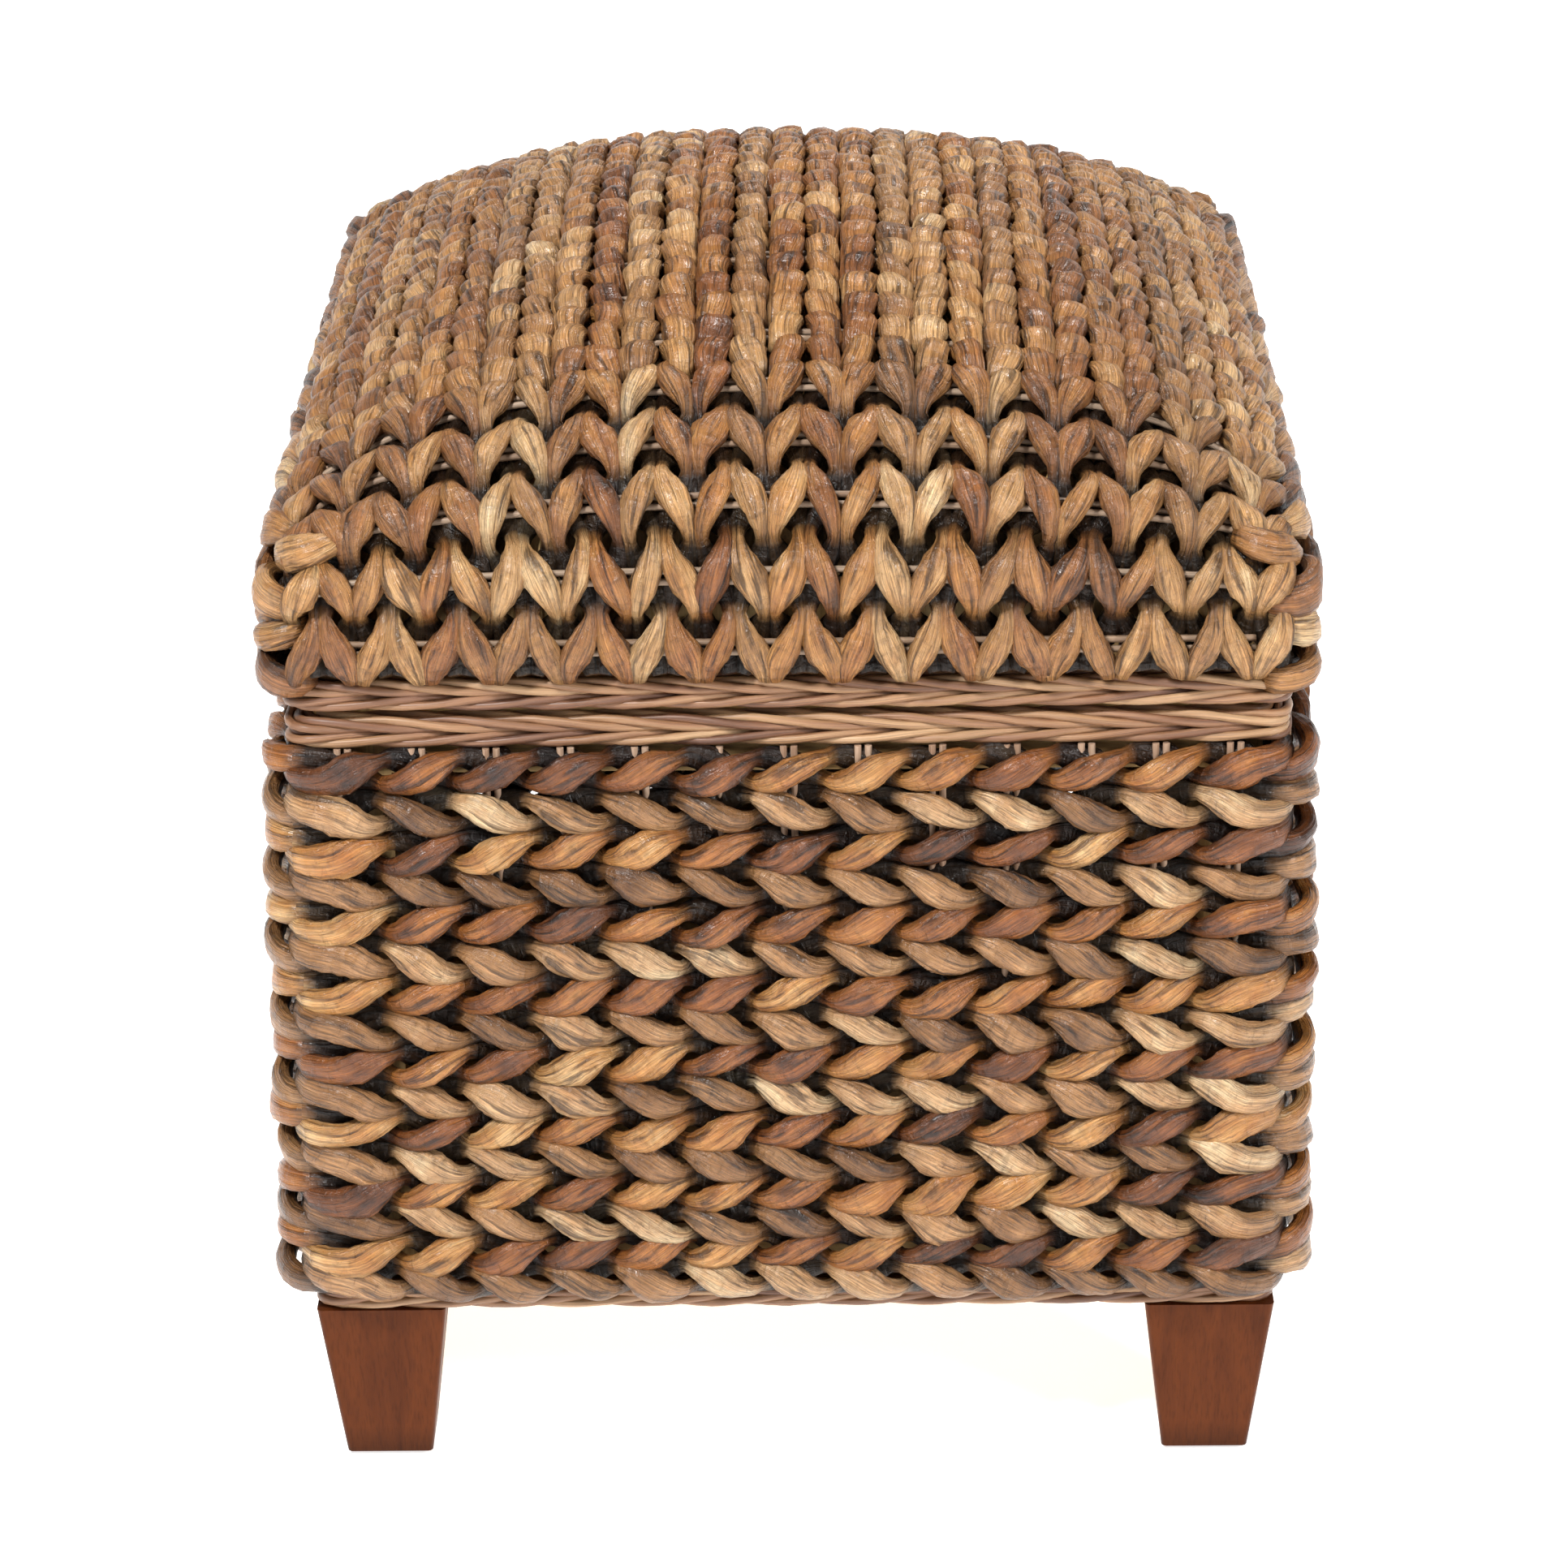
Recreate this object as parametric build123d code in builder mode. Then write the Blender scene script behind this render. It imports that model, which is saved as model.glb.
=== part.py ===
from build123d import *
import math
import os

os.makedirs("parts", exist_ok=True)

# Storage ottoman, millimetres. Front is -Y, up is +Z, the floor is z = 0.

# ---- overall sizes ----
lid_half = 228.5        # half width of the lid at its widest, 18 in overall
body_half = 225.0       # half width of the woven body
border_half = 216.0     # half width of the cane borders
frame_half = 203.0      # outer face of the wooden frame, left and right
extra_depth = 25.5      # every half size is this much more from front to back, 20 in overall
lid_half_y = lid_half + extra_depth
body_half_y = body_half + extra_depth
border_half_y = border_half + extra_depth
frame_half_y = frame_half + extra_depth
total_height = 540.0
shoulder_radius = 62.0
weave_depth = 22.0      # outermost to innermost pass of the twined rope
corner_radius = 25.0
plan_radius = 32.0      # lid corners seen from above
plan_margin = 0.6       # the rounding stands this far clear of the lid's flat faces

# ---- heights ----
glide_height = 2.5
leg_top = 82.0
base_border_top = 95.0
body_weave_top = 357.0
body_top = 371.0
lid_base = 374.0
lid_weave_base = 388.0
shoulder_start = 424.0

# ---- wooden frame ----
rail_thickness = 16.0
rail_inner = frame_half - rail_thickness
rail_inner_y = frame_half_y - rail_thickness
post_size = 32.0
post_centre = frame_half - post_size / 2
post_centre_y = frame_half_y - post_size / 2
post_inner = frame_half - post_size
post_inner_y = frame_half_y - post_size
top_rail_height = 30.0
bottom_rail_height = 25.0
floor_thickness = 12.0
floor_top = leg_top + floor_thickness
lid_rail_height = 30.0

# ---- legs ----
leg_top_size = 58.0
leg_foot_size = 39.0
leg_centre = 186.0
leg_centre_y = leg_centre + extra_depth
bolt_radius = 4.0
bolt_low = 35.0
bolt_high = 124.0

# ---- cane stakes ----
stake_pitch = 31.75
stakes_each_way = 6     # either side of the middle stake, front and back
stakes_each_way_y = 7   # the same, left and right
cane_radius = 1.5
cane_spacing = 4.5      # centre to centre in a pair
slot_half_width = 4.2
slot_half_depth = 1.7
stake_plane = 214.0
stake_plane_y = stake_plane + extra_depth

# ---- hinge ----
hinge_y = body_half_y - 3.5
hinge_z = (body_top + lid_base) / 2
hinge_x = 120.0
hinge_width = 50.0
knuckle_radius = 3.0
hinge_pin_radius = 1.5
hinge_bore_radius = 1.54
leaf_thickness = 1.2
leaf_inner_y = rail_inner_y + 2.0
screw_radius = 1.75
screw_head_radius = 3.2
screw_depth = 14.0

# ---- lid stays, drawn as (forward of hinge, above hinge) ----
stay_a = (70.0, -20.0)
stay_b = (110.0, -10.0)
stay_c = (stay_a[0] + stay_b[0], stay_a[1] + stay_b[1])
stay_arm_width = 12.0
stay_arm_thickness = 2.0
lower_arm_x = 182.8
upper_arm_x = 179.8
stay_pin_radius = 2.5
stay_bore_radius = 2.56
open_bore_radius = 2.6
stay_head_radius = 4.0


def arcs(half):
    """Shoulder centre, crown radius, crown centre height and the angle where shoulder meets crown."""
    rise = total_height - shoulder_start
    centre = half - shoulder_radius
    crown = (centre ** 2 + rise ** 2 - shoulder_radius ** 2) / (2 * (rise - shoulder_radius))
    crown_z = total_height - crown
    return centre, crown, crown_z, math.atan2(shoulder_start - crown_z, centre)


def dome_profile(half, offset, base):
    """Closed half-barrel outline: upright skirt, shoulder arc, shallow crown arc."""
    centre, crown, crown_z, tilt = arcs(half)
    side = half - offset
    small = shoulder_radius - offset
    tangent = (centre + small * math.cos(tilt), shoulder_start + small * math.sin(tilt))
    middle = (centre + small * math.cos(tilt / 2), shoulder_start + small * math.sin(tilt / 2))
    top = (0, total_height - offset)
    with BuildSketch() as outline:
        with BuildLine():
            Line((-side, base), (side, base))
            Line((side, base), (side, shoulder_start))
            ThreePointArc((side, shoulder_start), middle, tangent)
            ThreePointArc(tangent, top, (-tangent[0], tangent[1]))
            ThreePointArc((-tangent[0], tangent[1]), (-middle[0], middle[1]), (-side, shoulder_start))
            Line((-side, shoulder_start), (-side, base))
        make_face()
    return outline.sketch_local


def dome(offset, base, rounded=False):
    """Dome over a rectangle: the width profile pulled back, cut by the depth profile pulled across."""
    reach = lid_half_y + 10
    across = dome_profile(lid_half, offset, base)
    along = dome_profile(lid_half_y, offset, base)
    with BuildPart() as body:
        with BuildSketch(Plane.XZ):
            add(across)
        extrude(amount=reach, both=True)
        with BuildSketch(Plane.YZ):
            add(along)
        extrude(amount=reach, both=True, mode=Mode.INTERSECT)
        if rounded:
            with BuildSketch(Plane.XY.offset(base)):
                RectangleRounded(2 * (lid_half + plan_margin), 2 * (lid_half_y + plan_margin), plan_radius)
            extrude(amount=total_height - base, mode=Mode.INTERSECT)
    return body.part


def station(s):
    """Point and tilt on the lid's middle surface, s millimetres up the front from the lid's lower edge."""
    middle = weave_depth / 2
    centre, crown, crown_z, tilt = arcs(lid_half_y)
    upright = shoulder_start - hinge_z
    small = shoulder_radius - middle
    if s < upright:
        return lid_half_y - middle, hinge_z + s, 0.0
    if s < upright + small * tilt:
        turn = (s - upright) / small
        return centre + small * math.cos(turn), shoulder_start + small * math.sin(turn), turn
    turn = tilt + (s - upright - small * tilt) / (crown - middle)
    reach = crown - middle
    return reach * math.cos(turn), crown_z + reach * math.sin(turn), turn


# ---- legs: tapered hardwood blocks ----
def make_leg(name, sx, sy):
    at = (sx * leg_centre, sy * leg_centre_y)
    with BuildPart() as leg:
        with BuildSketch(Plane.XY.offset(glide_height)):
            with Locations(at):
                RectangleRounded(leg_foot_size, leg_foot_size, 2.5)
        with BuildSketch(Plane.XY.offset(leg_top)):
            with Locations(at):
                RectangleRounded(leg_top_size, leg_top_size, 2.5)
        loft()
        with BuildSketch(Plane.XY.offset(bolt_low)):
            with Locations(at):
                Circle(bolt_radius)
        extrude(amount=leg_top - bolt_low, mode=Mode.SUBTRACT)
    leg.part.label = name
    export_step(leg.part, "parts/" + name + ".step")


make_leg("leg_front_left", -1, -1)
make_leg("leg_front_right", 1, -1)
make_leg("leg_back_left", -1, 1)
make_leg("leg_back_right", 1, 1)

corners = [(sx * leg_centre, sy * leg_centre_y) for sx in (-1, 1) for sy in (-1, 1)]

# ---- nail-on glides under the legs ----
glide_radius = 9.0
with BuildPart() as glides:
    with BuildSketch():
        with Locations(*corners):
            Circle(glide_radius)
    extrude(amount=glide_height)
glides.part.label = "foot_glides"
export_step(glides.part, "parts/foot_glides.step")

# ---- hanger bolts through the floor into the posts ----
with BuildPart() as bolts:
    with BuildSketch(Plane.XY.offset(bolt_low)):
        with Locations(*corners):
            Circle(bolt_radius)
    extrude(amount=bolt_high - bolt_low)
bolts.part.label = "hanger_bolts"
export_step(bolts.part, "parts/hanger_bolts.step")

# ---- plywood floor ----
with BuildPart() as floor_panel:
    with BuildSketch(Plane.XY.offset(leg_top)):
        Rectangle(2 * frame_half, 2 * frame_half_y)
        with Locations(*corners):
            Circle(bolt_radius, mode=Mode.SUBTRACT)
    extrude(amount=floor_thickness)
floor_panel.part.label = "floor_panel"
export_step(floor_panel.part, "parts/floor_panel.step")


# ---- corner posts ----
def make_post(name, sx, sy):
    with BuildPart() as post:
        with BuildSketch(Plane.XY.offset(floor_top)):
            with Locations((sx * post_centre, sy * post_centre_y)):
                Rectangle(post_size, post_size)
        extrude(amount=body_top - floor_top)
        with BuildSketch(Plane.XY.offset(floor_top)):
            with Locations((sx * leg_centre, sy * leg_centre_y)):
                Circle(bolt_radius)
        extrude(amount=bolt_high - floor_top, mode=Mode.SUBTRACT)
    post.part.label = name
    export_step(post.part, "parts/" + name + ".step")


make_post("post_front_left", -1, -1)
make_post("post_front_right", 1, -1)
make_post("post_back_left", -1, 1)
make_post("post_back_right", 1, 1)

# ---- screw places ----
rail_mid = frame_half - rail_thickness / 2
rail_mid_y = frame_half_y - rail_thickness / 2
hinge_screw_x = [side * hinge_x + step for side in (-1, 1) for step in (-15.0, 15.0)]
plate_forward = (60.0, 80.0)
plate_screw_z = hinge_z + stay_a[1] + 9.0
bracket_forward = (104.0, 116.0)
bracket_screw_y = [hinge_y - forward for forward in bracket_forward]
plate_screw_y = [hinge_y - forward for forward in plate_forward]


# ---- body rails: posts carry the front and back, left and right ----
def front_back_rail(name, side, low, height, drilled):
    with BuildPart() as rail:
        with BuildSketch(Plane.XY.offset(low)):
            with Locations((0, side * rail_mid_y)):
                Rectangle(2 * post_inner, rail_thickness)
        extrude(amount=height)
        if drilled:
            with BuildSketch(Plane.XY.offset(low + height)):
                with Locations(*[(x, rail_mid_y) for x in hinge_screw_x]):
                    Circle(screw_radius)
            extrude(amount=-screw_depth, mode=Mode.SUBTRACT)
    rail.part.label = name
    export_step(rail.part, "parts/" + name + ".step")


def side_rail(name, side, low, height, drilled):
    with BuildPart() as rail:
        with BuildSketch(Plane.XY.offset(low)):
            with Locations((side * rail_mid, 0)):
                Rectangle(rail_thickness, 2 * post_inner_y)
        extrude(amount=height)
        if drilled:
            with BuildSketch(Plane.YZ.offset(side * rail_inner)):
                with Locations(*[(y, plate_screw_z) for y in plate_screw_y]):
                    Circle(screw_radius)
            extrude(amount=side * 10.0, mode=Mode.SUBTRACT)
    rail.part.label = name
    export_step(rail.part, "parts/" + name + ".step")


top_rail_low = body_top - top_rail_height
front_back_rail("rail_top_front", -1, top_rail_low, top_rail_height, False)
front_back_rail("rail_top_back", 1, top_rail_low, top_rail_height, True)
side_rail("rail_top_left", -1, top_rail_low, top_rail_height, True)
side_rail("rail_top_right", 1, top_rail_low, top_rail_height, True)
front_back_rail("rail_bottom_front", -1, floor_top, bottom_rail_height, False)
front_back_rail("rail_bottom_back", 1, floor_top, bottom_rail_height, False)
side_rail("rail_bottom_left", -1, floor_top, bottom_rail_height, False)
side_rail("rail_bottom_right", 1, floor_top, bottom_rail_height, False)

# ---- body weave: a slab per side with a slot for each cane pair ----
stake_places = [n * stake_pitch for n in range(-stakes_each_way, stakes_each_way + 1)]
side_places = [n * stake_pitch for n in range(-stakes_each_way_y, stakes_each_way_y + 1)]
slab_mid = body_half - weave_depth / 2


def front_back_weave(name, side):
    with BuildPart() as weave:
        with BuildSketch(Plane.XY.offset(base_border_top)):
            RectangleRounded(2 * body_half, 2 * body_half_y, corner_radius)
            with Locations((0, -side * weave_depth)):
                Rectangle(2 * body_half, 2 * body_half_y, mode=Mode.SUBTRACT)
            with Locations(*[(x, side * stake_plane_y) for x in stake_places]):
                Rectangle(2 * slot_half_width, 2 * slot_half_depth, mode=Mode.SUBTRACT)
        extrude(amount=body_weave_top - base_border_top)
    weave.part.label = name
    export_step(weave.part, "parts/" + name + ".step")


def side_weave(name, side):
    with BuildPart() as weave:
        with BuildSketch(Plane.XY.offset(base_border_top)):
            with Locations((side * slab_mid, 0)):
                Rectangle(weave_depth, 2 * frame_half_y)
            with Locations(*[(side * stake_plane, y) for y in side_places]):
                Rectangle(2 * slot_half_depth, 2 * slot_half_width, mode=Mode.SUBTRACT)
        extrude(amount=body_weave_top - base_border_top)
    weave.part.label = name
    export_step(weave.part, "parts/" + name + ".step")


front_back_weave("weave_front", -1)
front_back_weave("weave_back", 1)
side_weave("weave_left", -1)
side_weave("weave_right", 1)


# ---- rattan cane stakes, in pairs ----
def make_stakes(name, places):
    with BuildPart() as stakes:
        with BuildSketch(Plane.XY.offset(base_border_top)):
            with Locations(*places):
                Circle(cane_radius)
        extrude(amount=body_weave_top - base_border_top)
    stakes.part.label = name
    export_step(stakes.part, "parts/" + name + ".step")


pair = (-cane_spacing / 2, cane_spacing / 2)
make_stakes("stakes_front", [(x + step, -stake_plane_y) for x in stake_places for step in pair])
make_stakes("stakes_back", [(x + step, stake_plane_y) for x in stake_places for step in pair])
make_stakes("stakes_left", [(-stake_plane, y + step) for y in side_places for step in pair])
make_stakes("stakes_right", [(stake_plane, y + step) for y in side_places for step in pair])

# ---- cane borders: base and top of the body, lower edge of the lid ----
border_depth = border_half - frame_half
border_mid = frame_half + border_depth / 2
border_corner = 8.0


def front_back_border(name, side, low, high):
    with BuildPart() as border:
        with BuildSketch(Plane.XY.offset(low)):
            RectangleRounded(2 * border_half, 2 * border_half_y, border_corner)
            with Locations((0, -side * border_depth)):
                Rectangle(2 * border_half, 2 * border_half_y, mode=Mode.SUBTRACT)
        extrude(amount=high - low)
    border.part.label = name
    export_step(border.part, "parts/" + name + ".step")


def side_border(name, side, low, high):
    with BuildPart() as border:
        with BuildSketch(Plane.XY.offset(low)):
            with Locations((side * border_mid, 0)):
                Rectangle(border_depth, 2 * frame_half_y)
        extrude(amount=high - low)
    border.part.label = name
    export_step(border.part, "parts/" + name + ".step")


for level, low, high in (
    ("braid_base_", leg_top, base_border_top),
    ("braid_top_", body_weave_top, body_top),
    ("braid_lid_", lid_base, lid_weave_base),
):
    front_back_border(level + "front", -1, low, high)
    front_back_border(level + "back", 1, low, high)
    side_border(level + "left", -1, low, high)
    side_border(level + "right", 1, low, high)

# ---- rubber bumpers that set the gap under the lid ----
bumper_height = 2.7
bumper_radius = 5.0
bumper_x = 150.0
with BuildPart() as bumpers:
    with BuildSketch(Plane.XY.offset(body_top)):
        with Locations((-bumper_x, -rail_mid_y), (bumper_x, -rail_mid_y)):
            Circle(bumper_radius)
    extrude(amount=bumper_height)
bumpers.part.label = "lid_bumpers"
export_step(bumpers.part, "parts/lid_bumpers.step")


# ---- lid frame ----
def lid_front_back(name, side, drilled):
    with BuildPart() as rail:
        with BuildSketch(Plane.XY.offset(lid_base)):
            with Locations((0, side * rail_mid_y)):
                Rectangle(2 * frame_half, rail_thickness)
        extrude(amount=lid_rail_height)
        if drilled:
            with BuildSketch(Plane.XY.offset(lid_base)):
                with Locations(*[(x, rail_mid_y) for x in hinge_screw_x]):
                    Circle(screw_radius)
            extrude(amount=screw_depth, mode=Mode.SUBTRACT)
    rail.part.label = name
    export_step(rail.part, "parts/" + name + ".step")


def lid_side(name, side):
    with BuildPart() as rail:
        with BuildSketch(Plane.XY.offset(lid_base)):
            with Locations((side * rail_mid, 0)):
                Rectangle(rail_thickness, 2 * rail_inner_y)
        extrude(amount=lid_rail_height)
        with BuildSketch(Plane.XY.offset(lid_base)):
            with Locations(*[(side * rail_mid, y) for y in bracket_screw_y]):
                Circle(screw_radius)
        extrude(amount=screw_depth, mode=Mode.SUBTRACT)
    rail.part.label = name
    export_step(rail.part, "parts/" + name + ".step")


lid_front_back("lid_rail_front", -1, False)
lid_front_back("lid_rail_back", 1, True)
lid_side("lid_rail_left", -1)
lid_side("lid_rail_right", 1)

# ---- lid lining board ----
liner_low = lid_base + 2.0
liner_thickness = 6.0
with BuildPart() as liner:
    with BuildSketch(Plane.XY.offset(liner_low)):
        Rectangle(2 * rail_inner, 2 * rail_inner_y)
    extrude(amount=liner_thickness)
liner.part.label = "lid_liner"
export_step(liner.part, "parts/lid_liner.step")

# ---- arched ribs standing on the front and back lid rails ----
rib_depth = 24.0
layer_mid = weave_depth / 2
rib_width = 12.0
rib_foot = lid_base + lid_rail_height


def make_rib(x):
    outer = dome_profile(lid_half_y, layer_mid, rib_foot)
    inner = dome_profile(lid_half_y, weave_depth + rib_depth, rib_foot)
    with BuildPart() as rib:
        with BuildSketch(Plane.YZ.offset(x - rib_width / 2)):
            add(outer)
        extrude(amount=rib_width)
        with BuildSketch(Plane.YZ.offset(x - rib_width / 2)):
            add(inner)
        extrude(amount=rib_width, mode=Mode.SUBTRACT)
        add(dome(weave_depth, rib_foot - 1), mode=Mode.INTERSECT)
    return rib.part


with BuildPart() as ribs:
    for rib_x in (-110.0, 0.0, 110.0):
        add(make_rib(rib_x))
ribs.part.label = "lid_ribs"
export_step(ribs.part, "parts/lid_ribs.step")

# ---- lid stakes: cane pairs bent over the dome from side to side ----
lid_stake_count = 20
half_length = 0.0
while station(half_length)[0] > 0:
    half_length += 0.25
lid_pitch = 2 * half_length / (lid_stake_count + 1)
front_stations = [station(lid_pitch * (n + 1)) for n in range(lid_stake_count // 2)]


crown_turn = arcs(lid_half_y)[3]
crown_reach = 125.0     # crown canes run on down the sides
skirt_reach = 12.0      # skirt canes stop at the corners
shoulder_reach = 20.0   # shoulder canes fan out and stop short of meeting
stake_lift = 8.0        # the boards start this far outside the canes


def stake_slabs():
    """Thin boards square to the front-back profile, two per pair, cut later by a layer of the weave."""
    with BuildPart() as slabs:
        for side in (-1, 1):
            for y, z, turn in front_stations:
                plane = Plane(origin=(0, side * y, z), x_dir=(1, 0, 0), z_dir=(0, side * math.cos(turn), math.sin(turn)))
                depth = crown_reach if turn > crown_turn else skirt_reach + shoulder_reach * math.sin(turn)
                with BuildSketch(plane.offset(stake_lift)):
                    with Locations(*[(0, centre) for centre in pair]):
                        Rectangle(2 * lid_half, 2 * cane_radius)
                extrude(amount=-depth - stake_lift)
    return slabs.part


with BuildPart() as stakes_lid:
    add(stake_slabs())
    add(dome(layer_mid - cane_radius, lid_weave_base), mode=Mode.INTERSECT)
    add(dome(layer_mid + cane_radius, lid_weave_base - 1), mode=Mode.SUBTRACT)
stakes_lid.part.label = "stakes_lid"
export_step(stakes_lid.part, "parts/stakes_lid.step")

# ---- lid weave: the outer and the inner pass of the rope, with the canes between ----
outer_pass = layer_mid - slot_half_depth
inner_pass = layer_mid + slot_half_depth
with BuildPart() as weave_lid:
    add(dome(0.0, lid_weave_base, True))
    add(dome(outer_pass, lid_weave_base - 1), mode=Mode.SUBTRACT)
weave_lid.part.label = "weave_lid"
export_step(weave_lid.part, "parts/weave_lid.step")

with BuildPart() as weave_lid_inner:
    add(dome(inner_pass, lid_weave_base))
    add(dome(weave_depth, lid_weave_base - 1), mode=Mode.SUBTRACT)
weave_lid_inner.part.label = "weave_lid_inner"
export_step(weave_lid_inner.part, "parts/weave_lid_inner.step")

# ---- butt hinges ----
knuckle_width = hinge_width / 3
knuckle_gap = 0.15
leaf_edge = hinge_y - knuckle_radius - 0.4


def hinge_leaves(name, low, knuckle_steps):
    """The same leaf at both hinges: flat plate, knuckles, pin bore and countersunk screw holes."""
    with BuildPart() as leaves:
        for centre in (-hinge_x, hinge_x):
            with BuildSketch(Plane.XY.offset(low)):
                with Locations((centre, (leaf_inner_y + leaf_edge) / 2)):
                    Rectangle(hinge_width, leaf_edge - leaf_inner_y)
                with Locations(*[(centre + step * knuckle_width, (leaf_edge + hinge_y) / 2) for step in knuckle_steps]):
                    Rectangle(knuckle_width - 2 * knuckle_gap, hinge_y - leaf_edge)
            extrude(amount=leaf_thickness)
            for step in knuckle_steps:
                with BuildSketch(Plane.YZ.offset(centre + (step - 0.5) * knuckle_width + knuckle_gap)):
                    with Locations((hinge_y, hinge_z)):
                        Circle(knuckle_radius)
                extrude(amount=knuckle_width - 2 * knuckle_gap)
        with BuildSketch(Plane.YZ.offset(-hinge_x - hinge_width)):
            with Locations((hinge_y, hinge_z)):
                Circle(hinge_bore_radius)
        extrude(amount=2 * (hinge_x + hinge_width), mode=Mode.SUBTRACT)
        with BuildSketch(Plane.XY.offset(low)):
            with Locations(*[(x, rail_mid_y) for x in hinge_screw_x]):
                Circle(screw_head_radius)
        extrude(amount=leaf_thickness, mode=Mode.SUBTRACT)
    leaves.part.label = name
    export_step(leaves.part, "parts/" + name + ".step")


lid_leaf_low = lid_base - leaf_thickness
hinge_leaves("hinge_leaves_body", body_top, (-1, 1))
hinge_leaves("hinge_leaves_lid", lid_leaf_low, (0,))

with BuildPart() as hinge_pins:
    for centre in (-hinge_x, hinge_x):
        with BuildSketch(Plane.YZ.offset(centre - hinge_width / 2)):
            with Locations((hinge_y, hinge_z)):
                Circle(hinge_pin_radius)
        extrude(amount=hinge_width)
hinge_pins.part.label = "hinge_pins"
export_step(hinge_pins.part, "parts/hinge_pins.step")

# ---- lid stays ----
plate_thickness = 2.0


def stay_point(place):
    return (hinge_y - place[0], hinge_z + place[1])


def x_disc(side, inner_x, outer_x, place, radius):
    """Round bar along X between two distances from the middle plane."""
    with BuildPart() as disc:
        with BuildSketch(Plane.YZ.offset(side * inner_x)):
            with Locations(stay_point(place)):
                Circle(radius)
        extrude(amount=side * (outer_x - inner_x))
    return disc.part


def link(side, x, start, end):
    """Flat link with round ends between two pivots."""
    a = stay_point(start)
    b = stay_point(end)
    middle = ((a[0] + b[0]) / 2, (a[1] + b[1]) / 2)
    turn = math.degrees(math.atan2(b[1] - a[1], b[0] - a[0]))
    with BuildPart() as arm:
        with BuildSketch(Plane.YZ.offset(side * x - stay_arm_thickness / 2)):
            with Locations(middle):
                SlotCenterToCenter(math.dist(a, b), stay_arm_width, rotation=turn)
        extrude(amount=stay_arm_thickness)
    return arm.part


def lower_arm(name, side):
    with BuildPart() as arm:
        add(link(side, lower_arm_x, stay_a, stay_c))
        add(x_disc(side, lower_arm_x - 1.5, lower_arm_x + 1.5, stay_a, stay_bore_radius), mode=Mode.SUBTRACT)
        add(x_disc(side, upper_arm_x - 1.4, lower_arm_x, stay_c, stay_pin_radius))
        add(x_disc(side, upper_arm_x - 2.4, upper_arm_x - 1.4, stay_c, stay_head_radius))
    arm.part.label = name
    export_step(arm.part, "parts/" + name + ".step")


def upper_arm(name, side):
    with BuildPart() as arm:
        add(link(side, upper_arm_x, stay_b, stay_c))
        add(x_disc(side, upper_arm_x - 1.5, upper_arm_x + 1.5, stay_c, stay_bore_radius), mode=Mode.SUBTRACT)
        add(x_disc(side, upper_arm_x - 1.5, upper_arm_x + 1.5, stay_b, open_bore_radius), mode=Mode.SUBTRACT)
    arm.part.label = name
    export_step(arm.part, "parts/" + name + ".step")


lower_arm("stay_lower_left", -1)
lower_arm("stay_lower_right", 1)
upper_arm("stay_upper_left", -1)
upper_arm("stay_upper_right", 1)

# ---- stay plates on the body: screwed flat inside the side rails, each with a fixed pin ----
plate_low = hinge_z + stay_a[1] - 10.0
plate_high = body_top - 2.0
plate_margin = 8.0
with BuildPart() as stay_plates:
    for side in (-1, 1):
        with BuildSketch(Plane.YZ.offset(side * rail_inner)):
            with Locations((sum(plate_screw_y) / 2, (plate_low + plate_high) / 2)):
                Rectangle(plate_screw_y[0] - plate_screw_y[1] + 2 * plate_margin, plate_high - plate_low)
            with Locations(*[(y, plate_screw_z) for y in plate_screw_y]):
                Circle(screw_radius, mode=Mode.SUBTRACT)
        extrude(amount=-side * plate_thickness)
        add(x_disc(side, lower_arm_x - 1.2, rail_inner, stay_a, stay_pin_radius))
        add(x_disc(side, lower_arm_x - 1.7, lower_arm_x - 1.2, stay_a, stay_head_radius))
stay_plates.part.label = "stay_plates_body"
export_step(stay_plates.part, "parts/stay_plates_body.step")

# ---- stay brackets on the lid: angle screwed under the lid rail, each with a fixed pin ----
bracket_x = 184.2
bracket_width = 22.0
bracket_drop = 5.5
with BuildPart() as stay_brackets:
    for side in (-1, 1):
        centre_y = sum(bracket_screw_y) / 2
        with BuildSketch(Plane.XY.offset(lid_base - plate_thickness)):
            with Locations((side * (bracket_x + frame_half - 1) / 2, centre_y)):
                Rectangle(frame_half - 1 - bracket_x, bracket_width)
            with Locations(*[(side * rail_mid, y) for y in bracket_screw_y]):
                Circle(screw_head_radius, mode=Mode.SUBTRACT)
        extrude(amount=plate_thickness)
        tab_low = hinge_z + stay_b[1] - bracket_drop
        with BuildSketch(Plane.YZ.offset(side * bracket_x)):
            with Locations((centre_y, (tab_low + lid_base) / 2)):
                Rectangle(bracket_width, lid_base - tab_low)
        extrude(amount=side * plate_thickness)
        add(x_disc(side, upper_arm_x - 1.4, bracket_x + plate_thickness, stay_b, stay_pin_radius))
        add(x_disc(side, upper_arm_x - 2.4, upper_arm_x - 1.4, stay_b, stay_head_radius))
stay_brackets.part.label = "stay_brackets_lid"
export_step(stay_brackets.part, "parts/stay_brackets_lid.step")

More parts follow.
